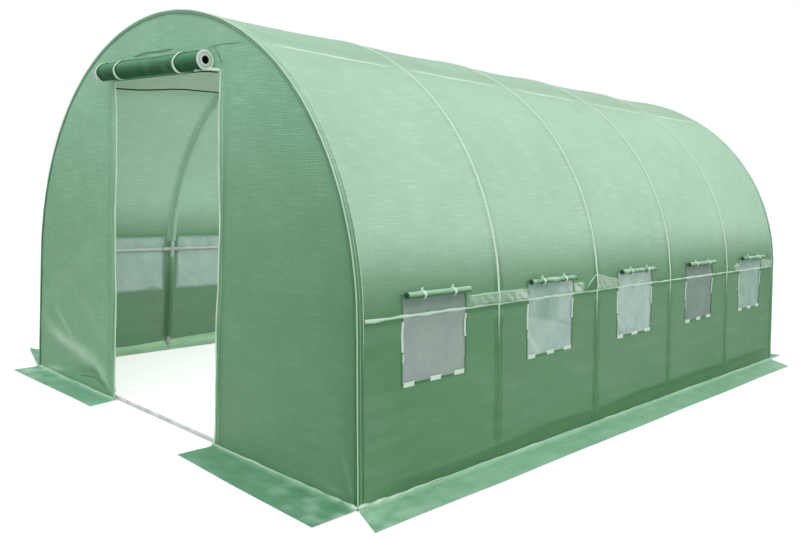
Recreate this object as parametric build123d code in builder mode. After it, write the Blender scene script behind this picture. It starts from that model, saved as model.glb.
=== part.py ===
from build123d import *
import os
from math import cos, radians, sin, sqrt, tan

# Walk-in tunnel greenhouse: white steel hoops and rails under a green woven cover,
# a roll-up doorway in each end wall and five netted windows along each side.
# X runs across the tunnel, Y along it with the front end at -Y, Z up from the ground.

# Overall size, over the outer face of the cover
length = 4500
foot_width = 3000
waist_height = 740
leg_lean = 3.4
shoulder_radius = 1390
shoulder_end = 60
cloth = 3

# Frame tubes and the pressed fittings that join them, drawn six-sided with their
# flats at these radii
hoop_count = 6
tube_sides = 6
tube_radius = 12.5
rail_radius = 9.5
cloth_gap = 4
end_gap = 7
sleeve_radius = 16
sleeve_length = 70
sleeve_clearance = 0.7
foot_sleeve_length = 60
socket_radius = 12.5
socket_reach = 75
socket_depth = 50
socket_clearance = 0.3

# Doorway in each end
door_width = 1000
door_height = 1750
post_spacing = 1080
header_height = 1795
door_roll_radius = 48
door_roll_length = 990
door_roll_shift = -45
door_roll_height = 1797

# Windows: narrow ones on the right side, ones nearly as wide as a bay on the left
window_width_right = 410
window_width_left = 770
window_sill = 455
window_head = 825
net = 1.5
flap_roll_radius = 16
flap_roll_sides = 8
flap_overlap = 20

# Loose skirts that lie on the ground round the foot of the cover: their reach, and how
# far the outer edge of a side skirt is shifted along at its long and its short end
end_skirt_left = 160
end_skirt_door = 200
end_skirt_corner = 240
side_skirt = 190
side_skirt_long = 90
side_skirt_short = 150

# Height at which the side walls pass into the roof cover
wall_top = 1020

# Clear space between neighbouring pieces
clear = 0.5

# Cross-section: leaning legs, a shoulder arc on each side and a flatter crown arc
half_length = length / 2
shoulder_x = foot_width / 2 - waist_height * tan(radians(leg_lean)) - shoulder_radius * cos(radians(leg_lean))
shoulder_z = waist_height - shoulder_radius * sin(radians(leg_lean))
crown_radius = shoulder_radius + shoulder_x / cos(radians(shoulder_end))
crown_z = shoulder_z - shoulder_x * tan(radians(shoulder_end))
height = crown_z + crown_radius

# Hoop planes, evenly spaced between the end walls
hoop_inset = cloth + cloth_gap + tube_radius
first_hoop = -half_length + cloth + end_gap + tube_radius
bay = -2 * first_hoop / (hoop_count - 1)
hoop_places = [first_hoop + bay * number for number in range(hoop_count)]
bay_centres = [place + bay / 2 for place in hoop_places[:-1]]
cover_inset = cloth + clear
rail_end_gap = socket_reach - socket_depth + clear


def leg_foot(inset):
    """Half-width of the cross-section at the ground, a given depth inside the cover's face."""
    radius = shoulder_radius - inset
    waist_x = shoulder_x + radius * cos(radians(leg_lean))
    waist_z = shoulder_z + radius * sin(radians(leg_lean))
    return waist_x + waist_z * tan(radians(leg_lean))


def half_width(level, inset):
    """Half-width of the cross-section at a level between the waist and the shoulder's end."""
    radius = shoulder_radius - inset
    return shoulder_x + sqrt(radius**2 - (level - shoulder_z) ** 2)


def crown_level(across, inset):
    """Height of the crown arc at a distance from the middle of the tunnel."""
    radius = crown_radius - inset
    return crown_z + sqrt(radius**2 - across**2)


def arch_line(inset):
    """The arch from foot to foot, drawn in the builder that is open."""
    radius = shoulder_radius - inset
    sweep_angle = shoulder_end - leg_lean
    shoulder = CenterArc((shoulder_x, shoulder_z), radius, leg_lean, sweep_angle)
    far_shoulder = CenterArc((-shoulder_x, shoulder_z), radius, 180 - shoulder_end, sweep_angle)
    leg = Line((leg_foot(inset), 0), shoulder @ 0)
    CenterArc((0, crown_z), crown_radius - inset, shoulder_end, 180 - 2 * shoulder_end)
    far_leg = Line(far_shoulder @ 1, (-leg_foot(inset), 0))
    return leg, far_leg


def tube_profile(radius):
    """Six-sided tube section with flats across the sketch's Y axis."""
    with BuildSketch() as profile:
        RegularPolygon(radius, tube_sides, major_radius=False)
    return profile.sketch


def arch_area(inset):
    """The area under the arch, from the ground up."""
    with BuildSketch() as area:
        with BuildLine():
            leg, far_leg = arch_line(inset)
            Line(far_leg @ 1, leg @ 0)
        make_face()
    return area.sketch


def save(piece, name):
    """Label a finished piece and write it under its own name."""
    piece.part.label = name
    export_step(piece.part, f"parts/{name}.step")


def mirrored(piece, plane):
    """The same piece on the other side of a plane."""
    with BuildPart() as twin:
        add(mirror(piece.part, about=plane, mode=Mode.PRIVATE))
    return twin


tube_section = tube_profile(tube_radius)
tube_clearance_section = tube_profile(tube_radius + sleeve_clearance)
rail_section = tube_profile(rail_radius)
rail_clearance_section = tube_profile(rail_radius + socket_clearance)
sleeve_section = tube_profile(sleeve_radius)
socket_section = tube_profile(socket_radius)


# Hoops: one bent tube each, standing on its two feet
def make_hoop(place):
    with BuildPart() as hoop:
        with BuildLine(Plane.XZ.offset(-place)) as path:
            arch_line(hoop_inset)
        arch = path.wire()
        with BuildSketch(Plane(origin=arch @ 0, x_dir=(0, 1, 0), z_dir=arch % 0)):
            add(tube_section)
        sweep(path=arch)
        split(bisect_by=Plane.XY, keep=Keep.TOP)
    return hoop


# Rails: straight tubes between neighbouring hoops, their ends inside the fittings
def make_rail(across, level, angle):
    flat_way = (cos(radians(angle)), 0, sin(radians(angle)))
    with BuildPart() as rail:
        for place in hoop_places[:-1]:
            start = (across, place + rail_end_gap, level)
            with BuildSketch(Plane(origin=start, x_dir=flat_way, z_dir=(0, 1, 0))):
                add(rail_section)
            extrude(amount=bay - 2 * rail_end_gap)
    return rail


# Fittings: a sleeve round the hoop with a socket for the rail on each side of it
def make_fittings(angle, centre_x, centre_z, radius):
    radial = (cos(radians(angle)), 0, sin(radians(angle)))
    along = (-sin(radians(angle)), 0, cos(radians(angle)))
    with BuildPart() as fittings:
        for place in hoop_places:
            middle = (centre_x + radius * radial[0], place, centre_z + radius * radial[2])
            seat = Plane(origin=middle, x_dir=(0, 1, 0), z_dir=along)
            run = Plane(origin=middle, x_dir=radial, z_dir=(0, 1, 0))
            back = 0 if place == hoop_places[0] else socket_reach
            front = 0 if place == hoop_places[-1] else socket_reach
            with BuildSketch(seat.offset(-sleeve_length / 2)):
                add(sleeve_section)
            extrude(amount=sleeve_length)
            with BuildSketch(run.offset(-back)):
                add(socket_section)
            extrude(amount=back + front)
            for side, reach in ((-1, back), (1, front)):
                if reach:
                    with BuildSketch(run.offset(side * reach)):
                        add(rail_clearance_section)
                    extrude(amount=-side * socket_depth, mode=Mode.SUBTRACT)
            with BuildSketch(seat.offset(-sleeve_length)):
                add(tube_clearance_section)
            extrude(amount=2 * sleeve_length, mode=Mode.SUBTRACT)
    return fittings


# Foot fittings: a sleeve round each hoop's foot with sockets for the base rails, and
# at the two ends one more for the bar across the end
def make_foot_fittings():
    lean = radians(leg_lean)
    foot_x = leg_foot(hoop_inset)
    with BuildPart() as fittings:
        for place in hoop_places:
            foot = (foot_x, place, 0)
            seat = Plane(origin=foot, x_dir=(0, 1, 0), z_dir=(-sin(lean), 0, cos(lean)))
            run = Plane(origin=(base_rail_x, place, base_level), x_dir=(1, 0, 0), z_dir=(0, 1, 0))
            cross = Plane(origin=(base_rail_x, place, base_level), x_dir=(0, 1, 0), z_dir=(-1, 0, 0))
            sockets = []
            if place != hoop_places[0]:
                sockets.append((run, -1))
            if place != hoop_places[-1]:
                sockets.append((run, 1))
            if place in (hoop_places[0], hoop_places[-1]):
                sockets.append((cross, 1))
            with BuildSketch(seat.offset(-sleeve_radius)):
                add(sleeve_section)
            extrude(amount=foot_sleeve_length + sleeve_radius)
            for plane, side in sockets:
                with BuildSketch(plane):
                    add(socket_section)
                extrude(amount=side * socket_reach)
            for plane, side in sockets:
                with BuildSketch(plane.offset(side * socket_reach)):
                    add(rail_clearance_section)
                extrude(amount=-side * socket_depth, mode=Mode.SUBTRACT)
            with BuildSketch(seat.offset(-sleeve_length)):
                add(tube_clearance_section)
            extrude(amount=3 * sleeve_length, mode=Mode.SUBTRACT)
        split(bisect_by=Plane.XY, keep=Keep.TOP)
    return fittings


def both_sides(piece):
    """The piece together with its mirror image on the tunnel's other side."""
    with BuildPart() as pair:
        add(piece.part)
        mirror(about=Plane.YZ)
    return pair


for number, place in enumerate(hoop_places, start=1):
    save(make_hoop(place), f"hoop_{number}")

hoop_radius = shoulder_radius - hoop_inset
crown_hoop_radius = crown_radius - hoop_inset

save(make_rail(0, crown_z + crown_hoop_radius, 90), "ridge_rail")
save(make_fittings(90, 0, crown_z, crown_hoop_radius), "ridge_fittings")

for angle, height_name in ((shoulder_end, "upper"), (leg_lean, "waist")):
    rail_x = shoulder_x + hoop_radius * cos(radians(angle))
    rail_z = shoulder_z + hoop_radius * sin(radians(angle))
    right_rail = make_rail(rail_x, rail_z, angle)
    save(right_rail, f"{height_name}_rail_right")
    save(mirrored(right_rail, Plane.YZ), f"{height_name}_rail_left")
    fittings = make_fittings(angle, shoulder_x, shoulder_z, hoop_radius)
    save(both_sides(fittings), f"{height_name}_fittings")

base_level = socket_radius
base_rail_x = leg_foot(hoop_inset) - base_level * tan(radians(leg_lean))
base_rail = make_rail(base_rail_x, base_level, 0)
save(base_rail, "base_rail_right")
save(mirrored(base_rail, Plane.YZ), "base_rail_left")
save(both_sides(make_foot_fittings()), "foot_fittings")

# Bar along the ground at each end, from foot to foot
bar_end = base_rail_x - rail_end_gap
with BuildPart() as front_bar:
    with BuildSketch(Plane(origin=(-bar_end, hoop_places[0], base_level), x_dir=(0, 1, 0), z_dir=(1, 0, 0))):
        add(rail_section)
    extrude(amount=2 * bar_end)
save(front_bar, "front_base_bar")
save(mirrored(front_bar, Plane.XZ), "back_base_bar")

# Door frame at each end: two posts from the bar to the hoop and a header between them
post_top = crown_level(post_spacing / 2 + rail_radius, hoop_inset + tube_radius) - clear
with BuildPart() as front_frame:
    for side in (-1, 1):
        foot = (side * post_spacing / 2, hoop_places[0], base_level + rail_radius + clear)
        with BuildSketch(Plane(origin=foot)):
            add(rail_section)
        extrude(amount=post_top - foot[2])
    header_start = (-post_spacing / 2, hoop_places[0], header_height)
    with BuildSketch(Plane(origin=header_start, x_dir=(0, 1, 0), z_dir=(1, 0, 0))):
        add(rail_section)
    extrude(amount=post_spacing)
save(front_frame, "front_door_frame")
save(mirrored(front_frame, Plane.XZ), "back_door_frame")


# End walls: flat cloth inside the arch, split beside and over the doorway
end_area = arch_area(cover_inset)


def make_end_wall(low_x, high_x, low_z):
    with BuildPart() as wall:
        with BuildSketch(Plane.XZ.offset(half_length)):
            add(end_area)
            with Locations(((low_x + high_x) / 2, low_z)):
                Rectangle(high_x - low_x, 2 * height, align=(Align.CENTER, Align.MIN), mode=Mode.INTERSECT)
        extrude(amount=-cloth)
    return wall


front_left = make_end_wall(-foot_width, -door_width / 2, 0)
front_right = make_end_wall(door_width / 2, foot_width, 0)
front_top = make_end_wall(-door_width / 2, door_width / 2, door_height)
save(front_left, "front_wall_left")
save(front_right, "front_wall_right")
save(front_top, "front_wall_top")
save(mirrored(front_left, Plane.XZ), "back_wall_left")
save(mirrored(front_right, Plane.XZ), "back_wall_right")
save(mirrored(front_top, Plane.XZ), "back_wall_top")

# Cover over the hoops: one arched cloth, whose lengthwise seams over the upper rails
# and above the windows part it into crown, shoulders and side walls
cover_outside = arch_area(0)
cover_inside = arch_area(cloth)
seam_x = shoulder_x + shoulder_radius * cos(radians(shoulder_end))
with BuildPart() as cover:
    with BuildSketch(Plane.XZ.offset(half_length)):
        add(cover_outside)
        add(cover_inside, mode=Mode.SUBTRACT)
    extrude(amount=-length)

with BuildPart() as crown:
    add(cover.part)
    Box(2 * seam_x, length, 2 * height, align=(Align.CENTER, Align.CENTER, Align.MIN), mode=Mode.INTERSECT)
save(crown, "roof_crown")

with BuildPart() as right_shoulder:
    add(cover.part)
    split(bisect_by=Plane.XY.offset(wall_top), keep=Keep.TOP)
    split(bisect_by=Plane.YZ.offset(seam_x), keep=Keep.TOP)
save(right_shoulder, "roof_shoulder_right")
save(mirrored(right_shoulder, Plane.YZ), "roof_shoulder_left")

with BuildPart() as right_side:
    add(cover.part)
    split(bisect_by=Plane.XY.offset(wall_top), keep=Keep.BOTTOM)
    split(bisect_by=Plane.YZ, keep=Keep.TOP)
left_side = mirrored(right_side, Plane.YZ)

net_outside = arch_area((cloth - net) / 2)
net_inside = arch_area((cloth + net) / 2)
with BuildPart() as net_arch:
    with BuildSketch(Plane.XZ.offset(half_length)):
        add(net_outside)
        add(net_inside, mode=Mode.SUBTRACT)
    extrude(amount=-length)

# Windows: each is cut through its side wall, filled with fine net and has its flap
# rolled up and tied over its head
window_middle = (window_sill + window_head) / 2
window_height = window_head - window_sill
flap_x = half_width(window_head, 0) + flap_roll_radius + clear

for side, name, blank, window_width in (
    (1, "right", right_side, window_width_right),
    (-1, "left", left_side, window_width_left),
):
    centres = [(side * foot_width / 2, centre, window_middle) for centre in bay_centres]
    reach = foot_width / 4
    with BuildPart() as wall:
        add(blank.part)
        with Locations(*centres):
            Box(reach, window_width, window_height, mode=Mode.SUBTRACT)
    save(wall, f"side_wall_{name}")

    with BuildPart() as nets:
        add(net_arch.part)
        with Locations(*centres):
            Box(reach, window_width - clear, window_height - clear, mode=Mode.INTERSECT)
    save(nets, f"window_nets_{name}")

    roll_length = window_width + 2 * flap_overlap
    with BuildPart() as flaps:
        for centre in bay_centres:
            start = (side * flap_x, centre - roll_length / 2, window_head)
            with BuildSketch(Plane(origin=start, z_dir=(0, 1, 0))):
                RegularPolygon(flap_roll_radius, flap_roll_sides)
            extrude(amount=roll_length)
    save(flaps, f"window_flaps_{name}")

# Door flaps: rolled up and tied over each doorway
roll_start = (
    door_roll_shift - door_roll_length / 2,
    -half_length - door_roll_radius - clear,
    door_roll_height,
)
with BuildPart() as front_roll:
    with BuildSketch(Plane(origin=roll_start, z_dir=(1, 0, 0))):
        Circle(door_roll_radius)
    extrude(amount=door_roll_length)
save(front_roll, "front_door_roll")
save(mirrored(front_roll, Plane.XZ), "back_door_roll")

# Skirts: flat cloth on the ground, beside each doorway and along each side
def make_skirt(*corners):
    with BuildPart() as skirt:
        with BuildSketch(Plane.XY):
            Polygon(*corners, align=None)
        extrude(amount=cloth)
    return skirt


outer_foot = foot_width / 2
jamb = door_width / 2
wall_face = -half_length - clear
front_skirt_right = make_skirt(
    (jamb, wall_face),
    (jamb, wall_face - end_skirt_door),
    (outer_foot, wall_face - end_skirt_corner),
    (outer_foot, wall_face),
)
front_skirt_left = make_skirt(
    (-outer_foot, wall_face),
    (-outer_foot, wall_face - end_skirt_left),
    (-jamb, wall_face - end_skirt_left),
    (-jamb, wall_face),
)
save(front_skirt_right, "front_skirt_right")
save(front_skirt_left, "front_skirt_left")
save(mirrored(front_skirt_right, Plane.XZ), "back_skirt_right")
save(mirrored(front_skirt_left, Plane.XZ), "back_skirt_left")

side_face = outer_foot + clear
side_skirt_right = make_skirt(
    (side_face, -half_length),
    (side_face + side_skirt, -half_length - side_skirt_long),
    (side_face + side_skirt, half_length - side_skirt_short),
    (side_face, half_length),
)
save(side_skirt_right, "side_skirt_right")
save(mirrored(mirrored(side_skirt_right, Plane.YZ), Plane.XZ), "side_skirt_left")
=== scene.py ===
from math import asin, cos, pi, radians, sin, sqrt, tan

import bpy
import numpy as np
from mathutils import Matrix, Vector


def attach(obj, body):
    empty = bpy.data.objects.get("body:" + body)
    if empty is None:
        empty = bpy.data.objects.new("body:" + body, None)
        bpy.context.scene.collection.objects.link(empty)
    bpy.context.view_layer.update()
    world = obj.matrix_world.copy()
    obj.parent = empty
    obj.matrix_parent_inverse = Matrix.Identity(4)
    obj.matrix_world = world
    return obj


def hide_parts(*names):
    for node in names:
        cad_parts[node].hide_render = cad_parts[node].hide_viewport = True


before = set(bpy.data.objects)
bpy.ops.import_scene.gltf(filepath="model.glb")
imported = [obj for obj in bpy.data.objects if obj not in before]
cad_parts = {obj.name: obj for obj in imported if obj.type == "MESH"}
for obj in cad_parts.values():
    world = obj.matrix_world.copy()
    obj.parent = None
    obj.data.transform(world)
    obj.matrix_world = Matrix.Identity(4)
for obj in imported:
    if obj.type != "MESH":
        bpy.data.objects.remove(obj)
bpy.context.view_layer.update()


# Hoops
# Six hoops of thin steel tube carry the tunnel. Each is rolled to one arch with leaning
# legs, round shoulders and a flatter crown, powder coated white and stood on the ground.
foot_half = 1.5
waist_height = 0.74
lean = radians(3.4)
shoulder_radius = 1.39
shoulder_end = radians(60)
shoulder_x = foot_half - waist_height * tan(lean) - shoulder_radius * cos(lean)
shoulder_z = waist_height - shoulder_radius * sin(lean)
crown_radius = shoulder_radius + shoulder_x / cos(shoulder_end)
crown_z = shoulder_z - shoulder_x * tan(shoulder_end)
leg_run = waist_height / cos(lean)
shoulder_run = shoulder_radius * (shoulder_end - lean)
arch_run = 2 * leg_run + 2 * shoulder_run + crown_radius * radians(60)
first_hoop = -2.2275
bay = 0.891
hoop_places = [first_hoop + bay * number for number in range(6)]
hoop_inset = 0.0195
hoop_tube = 0.0125


def arch_place(run, lift=0.0):
    """Across and up for a run along the arch from the left foot, lifted off the cover's face."""
    run, lift = np.broadcast_arrays(np.asarray(run, float), np.asarray(lift, float))
    side = np.where(run > arch_run / 2, 1.0, -1.0)
    from_foot = np.where(run > arch_run / 2, arch_run - run, run)
    on_leg = from_foot <= leg_run
    on_shoulder = ~on_leg & (from_foot <= leg_run + shoulder_run)
    crown_angle = shoulder_end + (from_foot - leg_run - shoulder_run) / crown_radius
    angle = np.where(on_shoulder, lean + (from_foot - leg_run) / shoulder_radius, crown_angle)
    angle = np.where(on_leg, lean, angle)
    leg_x, leg_z = foot_half - from_foot * sin(lean), from_foot * cos(lean)
    bend_x, bend_z = shoulder_radius * np.cos(angle), shoulder_radius * np.sin(angle)
    x = np.where(on_shoulder, shoulder_x + bend_x, crown_radius * np.cos(angle))
    z = np.where(on_shoulder, shoulder_z + bend_z, crown_z + crown_radius * np.sin(angle))
    x, z = np.where(on_leg, leg_x, x), np.where(on_leg, leg_z, z)
    return side * (x + lift * np.cos(angle)), z + lift * np.sin(angle)


class Tone:
    """A value or colour in a finish. A sum written on tones adds the nodes that work it out."""

    def __init__(self, tree, socket=None):
        self.tree = tree
        self.socket = socket

    def node(self, kind, settings=None, values=None, out=0):
        """Adds a node, sets it up first, then gives its sockets their values or links."""
        made = self.tree.nodes.new("ShaderNode" + kind)
        for name, setting in (settings or {}).items():
            setattr(made, name, setting)
        for name, value in (values or {}).items():
            if isinstance(value, Tone):
                self.tree.links.new(value.socket, made.inputs[name])
            else:
                made.inputs[name].default_value = value
        return Tone(self.tree, made.outputs[out] if made.outputs else None)

    def sum(self, operation, *values):
        return self.node("Math", {"operation": operation}, dict(enumerate(values)))

    def __add__(self, other):
        return self.sum("ADD", self, other)

    def __radd__(self, other):
        return self.sum("ADD", other, self)

    def __sub__(self, other):
        return self.sum("SUBTRACT", self, other)

    def __rsub__(self, other):
        return self.sum("SUBTRACT", other, self)

    def __mul__(self, other):
        return self.sum("MULTIPLY", self, other)

    def __rmul__(self, other):
        return self.sum("MULTIPLY", other, self)

    def wave(self, pitch):
        """Rises to 1 and falls to -1 once in every pitch."""
        return self.sum("SINE", self * (2 * pi / pitch))

    def scaled(self, light):
        """The colour made lighter or darker."""
        return self.node("VectorMath", {"operation": "SCALE"}, {0: self, "Scale": light})

    def held(self):
        """The value kept between 0 and 1."""
        return self.node("Clamp", {}, {"Value": self})

    def step(self, low, high):
        """0 below low, 1 above high and smooth between."""
        values = {"Value": self, "From Min": low, "From Max": high}
        return self.node("MapRange", {"interpolation_type": "SMOOTHSTEP"}, values)

    def over(self, under, top):
        """The colour under, with the colour top laid on it where this mask is 1."""
        values = {0: self, 6: under, 7: top}
        return self.node("Mix", {"data_type": "RGBA"}, values, out=2)


def start_finish(name):
    """A finish with no nodes yet, and the tone that its nodes are written from."""
    finish = bpy.data.materials.new(name)
    finish.use_nodes = True
    finish.node_tree.nodes.clear()
    return finish, Tone(finish.node_tree)


def dye(red, green, blue):
    """A colour as it looks on the object, from 0 to 255 a channel."""
    shares = [channel / 255 for channel in (red, green, blue)]
    linear = [c / 12.92 if c <= 0.04045 else ((c + 0.055) / 1.055) ** 2.4 for c in shares]
    return (*linear, 1.0)


def coated_steel(name, colour, scuff, roughness=0.38):
    """Powder coat on steel: fine orange peel, a little grime low down and rubbed patches."""
    finish, tone = start_finish(name)
    spot = tone.node("TexCoord", out=3)
    peel = tone.node("TexNoise", {}, {"Vector": spot, "Scale": 900.0, "Detail": 2.0})
    cloud = tone.node("TexNoise", {}, {"Vector": spot, "Scale": 9.0, "Detail": 6.0})
    rub = tone.node("TexNoise", {}, {"Vector": spot, "Scale": 60.0, "Detail": 5.0})
    wear_and_painted_light = rub.step(0.60, 0.72) * cloud.step(0.45, 0.62)
    height = tone.node("SeparateXYZ", {}, {"Vector": spot}, out=2)
    grimy = (1 - height.step(0.0, 0.12)) * cloud.step(0.35, 0.7)
    paint = (wear_and_painted_light * 0.55).over(colour, scuff)
    paint = (grimy * 0.5).over(paint, dye(150, 152, 138))
    bump = tone.node("Bump", {}, {"Strength": 0.25, "Distance": 0.0004, "Height": peel})
    gloss = roughness + wear_and_painted_light * 0.2 + grimy * 0.25
    coat = tone.node("BsdfPrincipled", {}, {"Base Color": paint, "Roughness": gloss, "Normal": bump})
    tone.node("OutputMaterial", {}, {"Surface": coat})
    return finish


def build_piece(name, shape, finish, cut=None, pale=None):
    """A mesh piece from (points, faces). cut is where each point lies on the flat cloth, in metres, and pale
    how far its cloth is painted white, for stretched cloth and painted highlights, or below 0 dark, as
    painted shade."""
    points, faces = shape
    mesh = bpy.data.meshes.new(name)
    mesh.from_pydata(np.asarray(points).tolist(), [], [list(map(int, face)) for face in faces])
    mesh.polygons.foreach_set("use_smooth", [True] * len(mesh.polygons))
    if cut is not None:
        corner = np.zeros(len(mesh.loops), int)
        mesh.loops.foreach_get("vertex_index", corner)
        layer = mesh.uv_layers.new(name="cut")
        layer.data.foreach_set("uv", np.asarray(cut, float)[corner].ravel())
        whiteness = np.zeros(len(points)) if pale is None else np.asarray(pale, float)
        mesh.attributes.new("pale", "FLOAT", "POINT").data.foreach_set("value", whiteness.ravel())
    mesh.materials.append(finish)
    mesh.update()
    piece = bpy.data.objects.new(name, mesh)
    bpy.context.scene.collection.objects.link(piece)
    return piece


def joined(shapes):
    """Several (points, faces) shapes as one."""
    points, faces, count = [], [], 0
    for shape_points, shape_faces in shapes:
        points.append(np.asarray(shape_points, float))
        faces += [[corner + count for corner in face] for face in shape_faces]
        count += len(shape_points)
    return np.concatenate(points), faces


def ring_faces(rings, sides):
    """The quads between rings of points that follow one another, with so many sides each."""
    faces = []
    for low in range(0, (rings - 1) * sides, sides):
        for side in range(sides):
            step = (side + 1) % sides
            faces.append((low + side, low + step, low + sides + step, low + sides + side))
    return faces


def round_tube(path, radius, sides=14, capped=True):
    """A round tube along a path of points. radius may differ from point to point."""
    path = np.asarray(path, float)
    radii = np.broadcast_to(radius, len(path))
    heading = np.gradient(path, axis=0)
    heading /= np.linalg.norm(heading, axis=1)[:, None]
    across = np.cross(heading[0], (0.31, 0.57, 0.76))
    points = []
    for place, way, reach in zip(path, heading, radii):
        across = across - way * (across @ way)
        across /= np.linalg.norm(across)
        other = np.cross(way, across)
        turn = np.linspace(0, 2 * pi, sides, endpoint=False)[:, None]
        points.append(place + reach * (np.cos(turn) * across + np.sin(turn) * other))
    faces = ring_faces(len(path), sides)
    if capped:
        last = (len(path) - 1) * sides
        faces.append(tuple(range(sides))[::-1])
        faces.append(tuple(range(last, last + sides)))
    return np.concatenate(points), faces


tube_paint = coated_steel("white_tube_paint", dye(226, 231, 229), dye(172, 178, 180))

hoop_runs = np.concatenate([
    np.linspace(0, leg_run, 7)[:-1],
    np.linspace(leg_run, arch_run - leg_run, 57),
    np.linspace(arch_run - leg_run, arch_run, 7)[1:],
])
for number, place in enumerate(hoop_places, start=1):
    hoop_x, hoop_z = arch_place(hoop_runs, -hoop_inset)
    bent_path = np.stack([hoop_x, np.full_like(hoop_x, place), np.maximum(hoop_z, 0.0)], axis=1)
    hoop = build_piece(f"white_hoop_{number}", round_tube(bent_path, hoop_tube, 16), tube_paint)
    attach(hoop, "root")
    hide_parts(f"hoop_{number}")


# Rails
# Straight steel tubes, a little thinner than the hoops, run from hoop to hoop along the
# ridge, the upper shoulders, the waist and the ground. They push into the fittings.
rail_tube = 0.0095
rail_end_gap = 0.0255
base_level = 0.0125
base_rail_x = foot_half - hoop_inset / cos(lean) - base_level * tan(lean)
upper_run = leg_run + shoulder_run
rail_runs = {
    "base_rail_left": 0.0,
    "waist_rail_left": leg_run,
    "upper_rail_left": upper_run,
    "ridge_rail": arch_run / 2,
    "upper_rail_right": arch_run - upper_run,
    "waist_rail_right": arch_run - leg_run,
    "base_rail_right": arch_run,
}
for rail_name, run in rail_runs.items():
    rail_x, rail_z = (float(part) for part in arch_place(run, -hoop_inset))
    if rail_name.startswith("base"):
        rail_x, rail_z = (base_rail_x if run else -base_rail_x), base_level
    tubes = []
    for place in hoop_places[:-1]:
        stops = np.linspace(place + rail_end_gap, place + bay - rail_end_gap, 9)
        swage = rail_tube - 0.0008 * (np.abs(stops - stops.mean()) > bay / 2 - 0.12)
        tubes.append(round_tube([(rail_x, stop, rail_z) for stop in stops], swage, 12))
    rail = build_piece(f"white_{rail_name}", joined(tubes), tube_paint)
    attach(rail, "root")
    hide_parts(rail_name)


# Four-way fittings
# Pressed steel sleeves grip the hoops, each with a socket on either side for the rails.
# Both are rolled over at the mouth, and a bolt and nut clamp every socket on its rail.
half_length = 2.25
sleeve_radius = 0.0152
sleeve_length = 0.07
socket_radius = 0.0125
socket_reach = 0.075
fitting_paint = coated_steel("fitting_paint", dye(205, 211, 208), dye(140, 147, 148), 0.3)


def turned(middle, axis, stations, sides=16):
    """A turned shape round an axis: stations are (distance along it, radius)."""
    axis = Vector(axis).normalized()
    across = axis.orthogonal().normalized()
    other = axis.cross(across)
    points = []
    for reach, radius in stations:
        for side in range(sides):
            turn = 2 * pi * side / sides
            rim = across * cos(turn) * radius + other * sin(turn) * radius
            points.append(Vector(middle) + axis * reach + rim)
    return [tuple(point) for point in points], ring_faces(len(stations), sides)


def rolled_mouths(length, radius, bore):
    """Stations of a sleeve with a rolled bead at each mouth."""
    half = length / 2
    bead = radius + 0.0012
    one_mouth = [(half - 0.006, radius), (half - 0.004, bead), (half - 0.001, bead), (half, radius - 0.0004)]
    far_mouth = [(-reach, size) for reach, size in reversed(one_mouth)]
    return [(-half, bore), *far_mouth, *one_mouth, (half, bore)]


def bolt(middle, axis, reach):
    """A hexagon-headed bolt through a socket, with a washer and nut on its far side."""
    head = [(reach, 0.0), (reach, 0.0055), (reach - 0.0035, 0.0058), (reach - 0.0036, 0.0058)]
    washer = [(reach - 0.0036, 0.0075), (reach - 0.0048, 0.0075), (reach - 0.0048, 0.0028)]
    shank = [(0.0, 0.0028), (-reach, 0.0028), (-reach, 0.0)]
    nut = [(-reach + 0.0045, 0.0), (-reach + 0.0045, 0.0058), (-reach + 0.0005, 0.0058), (-reach, 0.0)]
    return [
        turned(middle, axis, head, 6),
        turned(middle, axis, washer, 12),
        turned(middle, axis, shank, 8),
        turned(middle, axis, nut, 6),
    ]


def fitting(middle, along, sockets):
    """A sleeve along the hoop, its sockets and their bolts, as one shape."""
    shapes = [turned(middle, along, rolled_mouths(sleeve_length, sleeve_radius, hoop_tube + 0.0002))]
    for way in sockets:
        way = Vector(way)
        stations = [
            (0.004, socket_radius - 0.001),
            (0.016, socket_radius - 0.0003),
            (socket_reach - 0.006, socket_radius - 0.0003),
            (socket_reach - 0.004, socket_radius + 0.0007),
            (socket_reach - 0.001, socket_radius + 0.0007),
            (socket_reach, socket_radius - 0.0008),
            (socket_reach, rail_tube),
        ]
        shapes.append(turned(middle, way, stations))
        shapes += bolt(Vector(middle) + way * 0.045, along, 0.0165)
    return shapes


for fitting_name, runs in (
    ("ridge", [arch_run / 2]),
    ("upper", [upper_run, arch_run - upper_run]),
    ("waist", [leg_run, arch_run - leg_run]),
):
    shapes = []
    for run in runs:
        middle_x, middle_z = (float(part) for part in arch_place(run, -hoop_inset))
        outer_x, outer_z = (float(part) for part in arch_place(run, 0.1))
        radial = Vector((outer_x - middle_x, 0, outer_z - middle_z)).normalized()
        along = radial.cross(Vector((0, 1, 0)))
        for place in hoop_places:
            sockets = [(0, way, 0) for way in (-1, 1) if abs(place + way * bay) < half_length]
            shapes += fitting((middle_x, place, middle_z), along, sockets)
    piece = build_piece(f"{fitting_name}_sleeves", joined(shapes), fitting_paint)
    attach(piece, "root")
    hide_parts(f"{fitting_name}_fittings")

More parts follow.
